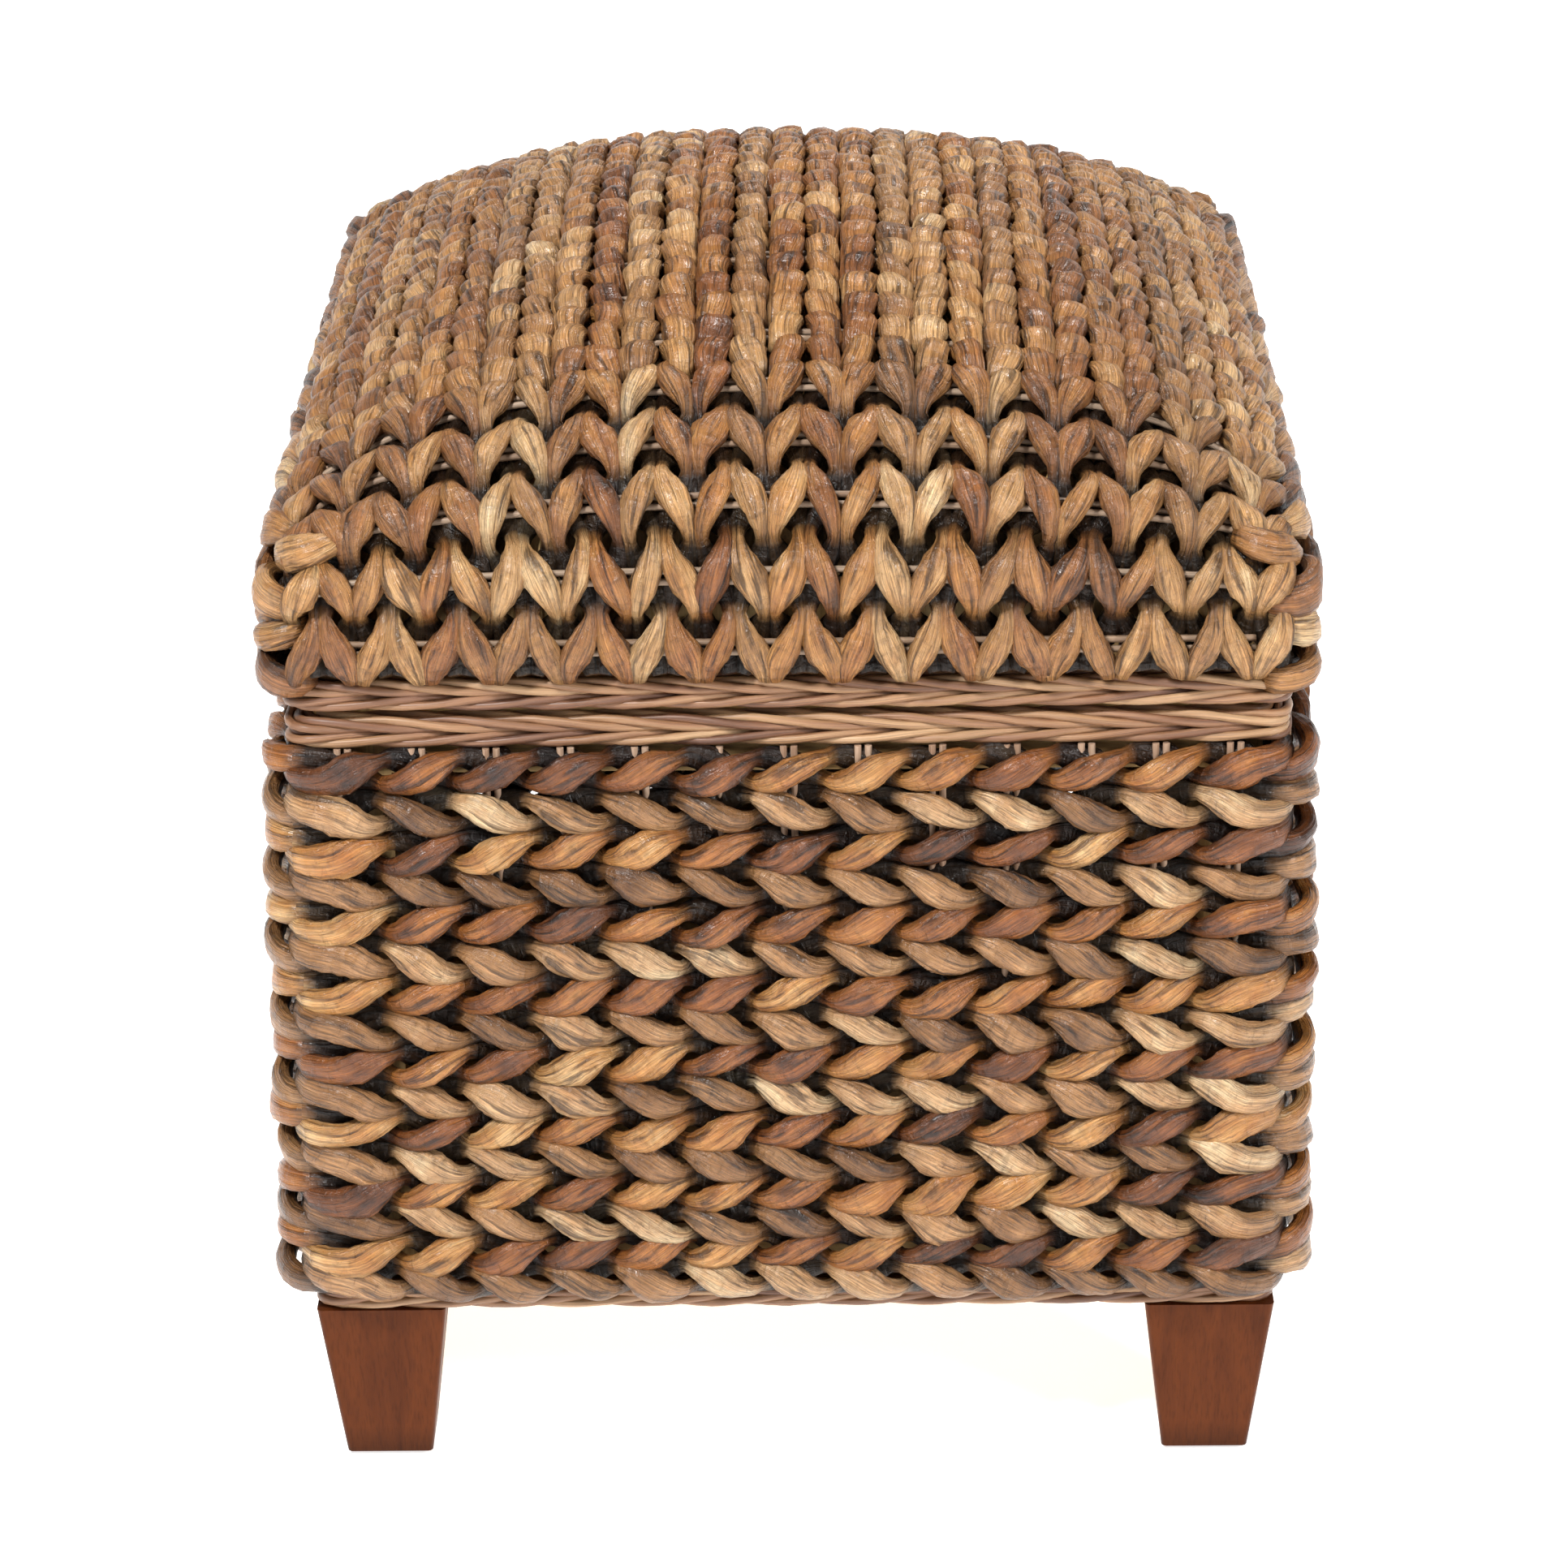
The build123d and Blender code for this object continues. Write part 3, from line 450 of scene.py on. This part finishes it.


# Dried banana leaf, folded and twisted, brushed with clear lacquer: fine fibres
# run along the rope and every leaf has its own tone. The low parts of the folds and
# wrinkles are painted darker as shade, and the turns that go behind the canes are
# painted much darker still as shade.
def leaf_material(name, warm_stops, pale_stops, roughness, coat, crinkle, pits):
    """Colour from each leaf's own number plus slow folds, times fibre streaks, painted shade in the
    low parts of the folds and wrinkles, pits, and painted shade that deepens as the turn goes behind
    the canes. crinkle weighs the cross wrinkles and their painted shade, pits is how dark the
    blotches are. The lacquer lies over the folds and wrinkles but fills the fibres."""
    leaf_mat, add = material(name)
    tone = add("ShaderNodeVertexColor", layer_name="leaf")
    split = add("ShaderNodeSeparateColor", {"Color": tone.outputs["Color"]})
    uv = add("ShaderNodeUVMap", uv_map="UVMap").outputs["UV"]
    fibre = noise(add, uv, (60.0, 1700.0, 1.0), 3.0, 0.65)
    fold = noise(add, uv, (40.0, 300.0, 1.0), 4.0, 0.62, 0.8)
    wrinkle = noise(add, uv, (380.0, 130.0, 1.0), 4.0, 0.6, 0.5)
    blotch = noise(add, uv, (55.0, 75.0, 1.0), 3.0, 0.6)
    own = spread(add, split.outputs["Red"], 0.0, 1.0, 0.16, 0.88)
    pick = maths(add, "ADD", maths(add, "MULTIPLY_ADD", fold, 0.5, -0.25), own)
    pick = maths(add, "MULTIPLY_ADD", maths(add, "SUBTRACT", blotch, 0.5), 0.9, pick)
    base = add("ShaderNodeMix", {"Factor": tone.outputs["Alpha"], "A": ramp(add, pick, pale_stops),
                                 "B": ramp(add, pick, warm_stops)}, data_type="RGBA").outputs["Result"]
    shade = spread(add, fibre, 0.32, 0.68, 0.4, 1.3)
    # Painted shade: darker in the low parts of the fold and wrinkle relief, and down to 0.07 where the turn
    # lies behind the canes (low Blue).
    for dark in (spread(add, fold, 0.36, 0.48, 0.3, 1.0),
                 spread(add, wrinkle, 0.32, 0.46, 1.0 - 0.5 * crinkle, 1.0),
                 spread(add, blotch, 0.66, 0.74, 1.0, 1.0 - pits),
                 spread(add, split.outputs["Blue"], 0.34, 0.62, 0.07, 1.0)):
        shade = maths(add, "MULTIPLY", shade, dark)
    height = maths(add, "MULTIPLY_ADD", fold, 2.4, maths(add, "MULTIPLY", fibre, 0.8))
    height = maths(add, "MULTIPLY_ADD", wrinkle, 0.6 + 1.6 * crinkle, height)
    bump = relief(add, height, 1.0, 0.0016)
    film_bump = relief(add, maths(add, "MULTIPLY_ADD", wrinkle, 0.7, fold), 1.0, 0.0016)
    rough = spread(add, wrinkle, 0.3, 0.7, roughness - 0.12, roughness + 0.14)
    surface(add, {"Base Color": shaded(add, base, shade), "Roughness": rough, "Normal": bump,
                  "Coat Weight": coat, "Coat Roughness": 0.24, "Coat IOR": 1.6, "Coat Normal": film_bump,
                  "Specular IOR Level": 0.15})
    return leaf_mat


BODY_WARM = [(0.0, "#24120A"), (0.12, "#522A12"), (0.34, "#84481C"), (0.6, "#A8672C"), (0.82, "#BE8546"),
             (1.0, "#D8AC74")]
BODY_PALE = [(0.0, "#32241A"), (0.1, "#644226"), (0.32, "#90663E"), (0.6, "#AF8256"), (0.82, "#C8A074"),
             (1.0, "#E2C69C")]
body_leaf = leaf_material("lacquered_banana_leaf_body", BODY_WARM, BODY_PALE, 0.36, 0.5,
                          crinkle=0.5, pits=0.4)

ROWS_PER_PIECE = 4
for k in range(BODY_ROWS // ROWS_PER_PIECE):
    pair = slice(2 * ROWS_PER_PIECE * k, 2 * ROWS_PER_PIECE * (k + 1))
    *shapes, leaf = [part[pair] for part in body_ropes]
    length = np.broadcast_to(where[None, :], (len(leaf), len(where)))
    body_band = strands_mesh("ropes_body_band_" + str(k + 1), *shapes, length, leaf, closed=True)
    body_band.data.materials.append(body_leaf)
    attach(body_band, "box")
    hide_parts("weave_front", "weave_right", "weave_back", "weave_left")

# ---------------------------------------------------------------------------
# Borders: three-rod wale of 3.8 mm rattan, two rows twisted opposite ways so
# that they read as a flat chevron, with a plainer pair behind. One ring closes
# the foot of the body and one its top.
# ---------------------------------------------------------------------------


def rattan_material(name, stops):
    """Smoked rattan rods: each rod's own tone, long fine lines along it, a soft satin face."""
    rattan, add = material(name)
    tone = add("ShaderNodeVertexColor", layer_name="leaf").outputs["Color"]
    own = add("ShaderNodeSeparateColor", {"Color": tone}).outputs["Red"]
    uv = add("ShaderNodeUVMap", uv_map="UVMap").outputs["UV"]
    lines = noise(add, uv, (22.0, 1300.0, 1.0), 3.0)
    slow = noise(add, uv, (14.0, 120.0, 1.0), 2.0)
    pick = maths(add, "ADD", own, maths(add, "MULTIPLY_ADD", slow, 0.9, -0.45))
    shade = spread(add, lines, 0.3, 0.65, 0.5, 1.12)
    surface(add, {"Base Color": shaded(add, ramp(add, pick, stops), shade), "Roughness": 0.42,
                  "Normal": relief(add, lines, 0.8, 0.0004), "Coat Weight": 0.25, "Coat Roughness": 0.3})
    return rattan


BORDER_TONES = [(0.0, "#553322"), (0.25, "#754C32"), (0.5, "#936847"), (0.75, "#A9805A"), (1.0, "#BE9870")]
smoked_rattan = rattan_material("smoked_rattan_border", BORDER_TONES)
ROD = 0.0019
LAY = 3 * STAKE_PITCH
ROD_OUT = 0.0024
ROD_UP = 0.0019
BEHIND = 0.0072
BORDER_CORNER = 0.008
BORDER_POINTS = 560
BORDER_RODS = 3


def wale_ring(name, place, body):
    """Three rods a row, each at distance s along the ring standing ROD_OUT*cos(2 pi s/LAY) out and
    ROD_UP*sin(2 pi s/LAY) up, a third of a lay apart: two rows in front, two behind."""
    names = [place + side for side in ("front", "right", "back", "left")]
    lows = np.array([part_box(n)[0] for n in names]).min(axis=0)
    highs = np.array([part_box(n)[1] for n in names]).max(axis=0)
    reach = ROD + ROD_OUT
    rods_centre, rods_out, rods_leaf, rods_length = [], [], [], []
    for depth in (0.0, BEHIND):
        half_x = highs[0] - reach - depth
        half_y = highs[1] - reach - depth
        path, around_at = rounded_walk(half_x, half_y, BORDER_CORNER, BORDER_POINTS)
        path, at = path[:-1], around_at[:-1]
        lays = round(around_at[-1] / LAY)
        ahead = unit(np.roll(path, -1, axis=0) - np.roll(path, 1, axis=0))
        face = np.stack([ahead[:, 1], -ahead[:, 0], np.zeros(len(at))], 1)
        for level, lean in ((highs[2] - ROD - ROD_UP, 1.0), (lows[2] + ROD + ROD_UP, -1.0)):
            for rod in range(BORDER_RODS):
                turn = 2 * np.pi * (lays * at / around_at[-1] + rod / BORDER_RODS)
                centre = np.concatenate([path, np.full((len(at), 1), level)], 1)
                centre = centre + face * (ROD_OUT * np.cos(turn))[:, None]
                centre[:, 2] -= lean * ROD_UP * np.sin(turn)
                tones = rng.uniform(0.1, 0.9, lays + 1)
                tones[-1] = tones[0]
                own = np.interp(turn / (2 * np.pi) - rod / BORDER_RODS, np.arange(lays + 1), tones)
                leaf = np.stack([own, np.full(len(at), rng.uniform()), np.ones(len(at)), np.ones(len(at))], 1)
                rods_centre.append(centre)
                rods_out.append(face)
                rods_leaf.append(leaf)
                rods_length.append(around_at)
    thick = np.full((len(rods_centre), len(at)), ROD)
    ring = strands_mesh(name, np.array(rods_centre), np.array(rods_out), thick, thick, np.zeros_like(thick),
                        np.array(rods_length), np.array(rods_leaf), around=8, lumps=0.05, closed=True)
    ring.data.materials.append(smoked_rattan)
    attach(ring, body)
    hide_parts(*names)


wale_ring("border_foot", "braid_base_", "box")
wale_ring("border_rim", "braid_top_", "box")

# ---------------------------------------------------------------------------
# Lid: wooden rails and ribs lined with thin plywood, rubber bumpers under the
# rails, and the same border round its foot.
# ---------------------------------------------------------------------------
LINER_TONES = [(0.3, "#A8824F"), (0.45, "#C6A26F"), (0.6, "#D5B584"), (0.75, "#BA9462")]
lid_ply = grain_wood("lid_liner_plywood", 1, LINER_TONES, 0.6, 0.05)
dress(["lid_liner"], lid_ply)
# Soft black rubber with a dull skin.
dress(["lid_bumpers"], speckled("bumper_rubber", "#1B1B1C", "#2A2A2B", 1200.0, 0.78))
wale_ring("border_lid", "braid_lid_", "lid")

# ---------------------------------------------------------------------------
# Lid canes: pairs of 3 mm rattan bent over the crown from side to side. Those
# of the skirts lie level across the front and back faces.
# ---------------------------------------------------------------------------
lid_lo, lid_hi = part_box("weave_lid")
LID_X = lid_hi[0] - WEAVE_DEPTH / 2
LID_Y = lid_hi[1] - WEAVE_DEPTH / 2
LID_TOP = lid_hi[2] - WEAVE_DEPTH / 2
LID_FOOT = lid_lo[2]
SHOULDER_Z = 0.424
SHOULDER_OUTSIDE = 0.062
SHOULDER = SHOULDER_OUTSIDE - WEAVE_DEPTH / 2
RISE = LID_TOP - SHOULDER_Z
GAP_Z = 0.3725
SOFTEN = 0.15
CORNER_DROP = 0.22


def crown_of(half):
    """Shoulder centre, crown radius, height of the crown's centre and tilt where the arcs meet."""
    centre = half - SHOULDER
    crown = (centre ** 2 + RISE ** 2 - SHOULDER ** 2) / (2 * (RISE - SHOULDER))
    return centre, crown, LID_TOP - crown, math.atan2(SHOULDER_Z - LID_TOP + crown, centre)


def arch(half, s):
    """Place across and height at arc length s from the middle of the lid: crown arc, shoulder arc,
    then straight down."""
    centre, crown, crown_z, tilt = crown_of(half)
    bend = crown * (np.pi / 2 - tilt)
    d = np.abs(s)
    a = np.where(d < bend, np.pi / 2 - d / crown, np.maximum(tilt - (d - bend) / SHOULDER, 0.0))
    across = np.where(d < bend, crown * np.cos(a), centre + SHOULDER * np.cos(a))
    z = np.where(d < bend, crown_z + crown * np.sin(a), SHOULDER_Z + SHOULDER * np.sin(a))
    z = z - np.maximum(d - bend - SHOULDER * tilt, 0.0)
    return np.sign(s) * across, z


def share_up(half, across):
    """Height over the shoulder line as a share of the rise, from 0 at the edge to 1 in the middle."""
    centre, crown, crown_z, tilt = crown_of(half)
    u = np.minimum(np.abs(across), half)
    over = crown_z + np.sqrt(np.maximum(crown ** 2 - u ** 2, 0.0))
    edge = SHOULDER_Z + np.sqrt(np.maximum(SHOULDER ** 2 - np.maximum(u - centre, 0.0) ** 2, 0.0))
    return (np.where(u < centre + SHOULDER * math.cos(tilt), over, edge) - SHOULDER_Z) / RISE


def lid_height(x, y):
    """The pillow of the lid: with f, g the shares up from side to side and front to back, the rise
    times 0.6 of their softened minimum (f+g-sqrt((f-g)^2+SOFTEN^2))/2 plus 0.4 of f*g, dropped
    towards the corners by CORNER_DROP*(x y/(LID_X LID_Y))^4."""
    f, g = share_up(LID_X, x), share_up(LID_Y, y)
    low = (f + g - np.sqrt((f - g) ** 2 + SOFTEN ** 2)) / 2
    drop = 1 - CORNER_DROP * (x * y / (LID_X * LID_Y)) ** 4
    return SHOULDER_Z + RISE * drop * (0.6 * low + 0.4 * f * g) / (0.6 * (1 - SOFTEN / 2) + 0.4)


def half_arc(half, z):
    """Arc length from the middle of the lid down to height z on the skirt."""
    centre, crown, crown_z, tilt = crown_of(half)
    return crown * (np.pi / 2 - tilt) + SHOULDER * tilt + SHOULDER_Z - z


LID_STATIONS = 20
LID_PITCH = 2 * half_arc(LID_Y, GAP_Z) / (LID_STATIONS + 1)
CANE = 0.0015
CANE_GAP = 0.00225
CANE_POINTS = 160
CANE_PAST_FOOT = 0.004
SKIRT_CANE_SHORT = 0.020
SHOULDER_CANE_SHARE = 0.92
station_s = (np.arange(LID_STATIONS) - (LID_STATIONS - 1) / 2) * LID_PITCH
cane_s = np.repeat(station_s, 2) + np.tile([-CANE_GAP, CANE_GAP], LID_STATIONS)
centre_y, crown_y, _, tilt_y = crown_of(LID_Y)
bend_y = crown_y * (np.pi / 2 - tilt_y)
cane_y, cane_z = arch(LID_Y, cane_s)
full = half_arc(LID_X, LID_FOOT - CANE_PAST_FOOT)
crown_cane = np.abs(cane_s) < bend_y
shoulder_cane = ~crown_cane & (cane_z > SHOULDER_Z)
edge_share = share_up(LID_Y, cane_y)
probe = np.linspace(0.0, LID_X, 400)
stop_x = np.array([probe[share_up(LID_X, probe) > SHOULDER_CANE_SHARE * g].max() for g in edge_share])
reach_s = np.where(crown_cane, full, np.where(shoulder_cane, stop_x, LID_X - SKIRT_CANE_SHORT))
run = np.linspace(-1.0, 1.0, CANE_POINTS)
t = reach_s[:, None] * run[None, :]
arch_x, arch_z = arch(LID_X, t)
x = np.where(crown_cane[:, None], arch_x, t)
y = np.broadcast_to(cane_y[:, None], x.shape)
top = np.minimum(lid_height(x, y), np.where(crown_cane[:, None], 1.0, cane_z[:, None] + CANE_PAST_FOOT))
on_skirt = crown_cane[:, None] & (arch_z < SHOULDER_Z)
z = np.where(on_skirt, arch_z + lid_height(LID_X, y) - SHOULDER_Z, top)
z = np.where((cane_z <= SHOULDER_Z)[:, None], cane_z[:, None], z)
cane_lines = np.stack([x, y, z], -1)
cane_out = np.broadcast_to(np.array([0.0, 1.0, 0.0]), cane_lines.shape)
cane_leaf = np.broadcast_to(rng.uniform(0.35, 1.0, (len(cane_s), 1, 4)), cane_lines.shape[:2] + (4,))
cane_size = np.full(cane_lines.shape[:2], CANE)
# The same peeled rattan as the upright canes, with lines along the bent cane.
bent_rattan = rattan_material("peeled_rattan_lid", [(0.0, "#7C5C44"), (0.5, "#A5866A"), (1.0, "#BFA48A")])
lid_canes = strands_mesh("canes_lid", cane_lines, cane_out, cane_size, cane_size, np.zeros_like(cane_size),
                         np.broadcast_to(t, cane_size.shape), cane_leaf, around=6, lumps=0.0)
lid_canes.data.materials.append(bent_rattan)
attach(lid_canes, "lid")
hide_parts("stakes_lid")

# ---------------------------------------------------------------------------
# Lid weave: twined ropes like the body's, running from the front edge up over
# the crown and down the back. The lowest four on each side run level round the
# side skirts instead and roll in at the corners.
# ---------------------------------------------------------------------------
ROPES = 14
LID_STEPS = 10
FRONT_PITCH = 0.01455
CROWN_GAPS = 5
ROPE_UP_FROM_FOOT = 0.003
LID_AROUND = 12
front_x = np.arange(-ROPES, ROPES + 1) * FRONT_PITCH
arc_s = np.linspace(0.0, full, 2000)
last_s = np.interp(front_x[-1], arch(LID_X, arc_s)[0], arc_s)
TOP_PITCH = last_s / ROPES
top_x = arch(LID_X, np.arange(-ROPES, ROPES + 1) * TOP_PITCH)[0]
foot_s = half_arc(LID_Y, LID_FOOT + ROPE_UP_FROM_FOOT)
middles = np.arange(LID_STATIONS - 1) - (LID_STATIONS - 2) / 2
half_turns = np.where(np.abs(middles) <= CROWN_GAPS, 2.0, 1.0)
knot_s = np.concatenate([[-foot_s], station_s, [foot_s]])
past = (foot_s - station_s[-1]) / LID_PITCH
knot_turns = np.concatenate([[-past], [0.0], np.cumsum(half_turns), [half_turns.sum() + past]])
theta = np.linspace(knot_turns[0], knot_turns[-1], int((knot_turns[-1] - knot_turns[0]) * LID_STEPS))
s = np.interp(theta, knot_turns, knot_s)
base_y, base_z = arch(LID_Y, s)
shoulder_end = bend_y + SHOULDER * tilt_y


def eased(share):
    """A share from 0 to 1 eased at both ends, share squared times (3 - 2 share)."""
    share = np.clip(share, 0.0, 1.0)
    return share * share * (3 - 2 * share)


w = eased((shoulder_end - np.abs(s)) / (shoulder_end - bend_y))
x = front_x[:, None] + (top_x - front_x)[:, None] * w[None, :]
y = np.broadcast_to(base_y[None, :], x.shape)
droop = lid_height(x, np.full_like(x, LID_Y)) - SHOULDER_Z
down = LID_FOOT + (base_z - LID_FOOT) * (SHOULDER_Z + droop - LID_FOOT) / (SHOULDER_Z - LID_FOOT)
z = np.where(np.abs(s)[None, :] < shoulder_end, lid_height(x, y), down)
line = np.stack([x, y, z], -1)
ahead = unit(np.gradient(line, axis=1))
beside = np.gradient(line, axis=0)
out3 = unit(np.cross(beside, ahead))
up3 = unit(np.cross(ahead, out3))
lean = np.where(np.arange(2 * ROPES + 1) % 2 == 0, 1.0, -1.0)
lid_tones = rng.uniform(0, 1, (2 * ROPES + 1, LID_STATIONS, 2, 4))
ROPE_TONE = 0.4
lid_tones[..., 0] *= 1 - ROPE_TONE
lid_tones[..., 0] += ROPE_TONE * rng.uniform(0, 1, (2 * ROPES + 1, 1, 1))
beads = eased(((CROWN_GAPS + 0.8) * LID_PITCH - np.abs(s)) / (0.8 * LID_PITCH))
lid_ropes = twine(line, out3, up3, theta, lean, amp=0.0058 - 0.0008 * beads, rise=0.0054 - 0.0042 * beads,
                  wide=(0.0028 + 0.0039 * beads, 0.0068 + 0.0006 * beads),
                  thick=(0.0030 + 0.0024 * beads, 0.0042 + 0.0006 * beads), tone_pick=lid_tones,
                  warm=rng.uniform(0.1, 0.9, 2 * ROPES + 1))
LID_WARM = [(0.0, "#2A160C"), (0.12, "#5C3016"), (0.34, "#8E5226"), (0.62, "#B0753A"), (0.82, "#C69258"),
            (1.0, "#DAB584")]
LID_PALE = [(0.0, "#32241A"), (0.12, "#664629"), (0.34, "#926842"), (0.62, "#B28656"), (0.82, "#CCA474"),
            (1.0, "#E0C296")]
lid_leaf = leaf_material("lacquered_banana_leaf_lid", LID_WARM, LID_PALE, 0.42, 0.45, crinkle=0.5, pits=0.7)
lid_pieces = []
thirds = {"left": slice(0, 20), "middle": slice(20, 38), "right": slice(38, 58)}
for tag, third in thirds.items():
    *shapes, leaf = [part[third] for part in lid_ropes]
    length = np.broadcast_to(s[None, :], leaf.shape[:2])
    lid_pieces.append(strands_mesh("ropes_lid_" + tag, *shapes, length, leaf, around=LID_AROUND))

SIDE_LEVELS = 4
SIDE_POINTS = 204
SIDE_END = 0.0065
TUCK = 0.009
TUCK_LENGTH = 0.014
TURN_IN = math.radians(80.0)
BEND = 0.016
BEND_GROWTH = 33.0
side_s = last_s + (full - SIDE_END - last_s) * np.arange(1, SIDE_LEVELS + 1) / SIDE_LEVELS
level_x, level_z = arch(LID_X, side_s)
over = np.maximum(level_z - SHOULDER_Z, 0.0)
level_y = centre_y + np.sqrt(SHOULDER ** 2 - over ** 2)
bend_r = BEND + BEND_GROWTH * over ** 2
reach = level_y - bend_r + bend_r * TURN_IN
v = np.linspace(-1.0, 1.0, SIDE_POINTS)[None, :] * reach[:, None]
flat = (level_y - bend_r)[:, None]
swing = np.clip((np.abs(v) - flat) / bend_r[:, None], 0.0, None)
tuck = TUCK * np.clip((np.abs(v) - reach[:, None] + TUCK_LENGTH) / TUCK_LENGTH, 0.0, 1.0) ** 2
nx, ny = np.cos(swing), np.sign(v) * np.sin(swing)
px = (level_x - bend_r)[:, None] + bend_r[:, None] * nx - nx * tuck
py = np.sign(v) * np.minimum(np.abs(v), flat) + bend_r[:, None] * ny - ny * tuck
slope = np.broadcast_to((over / SHOULDER)[:, None], px.shape)
lift = np.sqrt(1 - slope ** 2)
lean = np.where(np.arange(SIDE_LEVELS) % 2 == 0, 1.0, -1.0)
for mirror, tag in ((1.0, "right"), (-1.0, "left")):
    line = np.stack([mirror * px, py, np.broadcast_to(level_z[:, None], px.shape)], -1)
    out3 = np.stack([mirror * nx * lift, ny * lift, slope], -1)
    up3 = unit(np.cross(out3, np.gradient(line, axis=1))) * -mirror
    side_tones = rng.uniform(0, 1, (SIDE_LEVELS, 12, 2, 4))
    *shapes, leaf = twine(line, out3, up3, v[0] / LID_PITCH + 0.5, lean, amp=0.0056, rise=0.0046,
                          wide=(0.0050, 0.0074), thick=(0.0036, 0.0044), tone_pick=side_tones,
                          warm=np.full(SIDE_LEVELS, 0.5))
    lid_pieces.append(strands_mesh("ropes_lid_skirt_" + tag, *shapes, np.repeat(v, 2, axis=0), leaf,
                                   around=LID_AROUND))

for piece in lid_pieces:
    piece.data.materials.append(lid_leaf)
    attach(piece, "lid")
    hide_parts("weave_lid", "weave_lid_inner")

# ---------------------------------------------------------------------------
# Hinges, lid stays and screws: zinc-plated steel. Two butt hinges at the back,
# and on each side a two-arm stay between a body plate and a lid bracket.
# ---------------------------------------------------------------------------
dress(["hinge_leaves_body", "hinge_leaves_lid", "hinge_pins", "stay_lower_left", "stay_lower_right",
       "stay_upper_left", "stay_upper_right", "stay_plates_body", "stay_brackets_lid", "screws_body",
       "screws_lid"], zinc)

# ---------------------------------------------------------------------------
# Studio: a glowing sheet of white paper as floor and low backdrop, three soft
# boxes and the camera.
# ---------------------------------------------------------------------------
PAPER_HALF, PAPER_RISE = 60.0, 16.0
floor_mesh = bpy.data.meshes.new("studio_floor")
sheet = [(-1, -1), (1, -1), (1, 1), (-1, 1)]
corners = [(PAPER_HALF * sx, PAPER_HALF * sy, height) for height in (0.0, PAPER_RISE) for sx, sy in sheet]
floor_mesh.from_pydata(corners, [],
                       [(0, 1, 2, 3), (1, 0, 4, 5), (2, 1, 5, 6), (3, 2, 6, 7), (0, 3, 7, 4)])
studio_floor = bpy.data.objects.new("studio_floor", floor_mesh)
bpy.context.scene.collection.objects.link(studio_floor)
# Matt white seamless paper with light coming through it.
paper, add = material("white_seamless_paper")
grain = add("ShaderNodeTexNoise", {"Scale": 300.0, "Detail": 2.0}).outputs["Fac"]
surface(add, {"Base Color": spread(add, grain, 0.0, 1.0, 0.90, 0.93), "Roughness": 0.85,
              "Specular IOR Level": 0.1, "Emission Color": (1.0, 1.0, 1.0, 1.0), "Emission Strength": 0.74})
floor_mesh.materials.append(paper)

world = bpy.data.worlds.new("studio_world")
bpy.context.scene.world = world
world.use_nodes = True
sky = world.node_tree.nodes["Background"]
sky.inputs["Color"].default_value = (1.0, 1.0, 1.0, 1.0)
sky.inputs["Strength"].default_value = 0.1


def soft_box(name, at, aim, size, power):
    """A square area lamp at a place, turned to face a point."""
    lamp = bpy.data.lights.new(name, "AREA")
    lamp.size = size
    lamp.energy = power
    holder = bpy.data.objects.new(name, lamp)
    bpy.context.scene.collection.objects.link(holder)
    to_x, to_y, to_z = np.array(aim) - np.array(at)
    holder.location = at
    tip = math.atan2(math.hypot(to_x, to_y), -to_z)
    holder.rotation_euler = (tip, 0.0, math.atan2(to_y, to_x) - math.pi / 2)


soft_box("key_light", (-1.0, -1.7, 2.5), (0, 0, 0.3), 0.35, 86)
soft_box("fill_light", (1.9, -1.9, 1.7), (0, 0, 0.25), 0.4, 46)
soft_box("top_light", (0.3, 1.0, 2.4), (0, 0, 0.3), 0.4, 34)

ELEVATION = math.radians(23.93)
DISTANCE = 2.355
AIM_Z = 0.240
YAW = math.radians(-0.5)
ROLL = math.radians(-0.65)
LENS = 112.49
SHIFT_X = -0.00621
SHIFT_Y = -0.00983
cam_data = bpy.data.cameras.new("camera")
cam_data.sensor_width = 36.0
cam_data.lens = LENS
camera = bpy.data.objects.new("camera", cam_data)
bpy.context.scene.collection.objects.link(camera)
back = DISTANCE * math.cos(ELEVATION)
stand = (back * math.sin(-YAW), -back * math.cos(YAW), AIM_Z + DISTANCE * math.sin(ELEVATION))
camera.matrix_world = (Matrix.Translation(stand) @ Matrix.Rotation(-YAW, 4, "Z")
                       @ Matrix.Rotation(math.pi / 2 - ELEVATION, 4, "X") @ Matrix.Rotation(ROLL, 4, "Z"))
cam_data.shift_x = SHIFT_X
cam_data.shift_y = SHIFT_Y
bpy.context.scene.camera = camera
bpy.context.scene.view_settings.view_transform = "Standard"
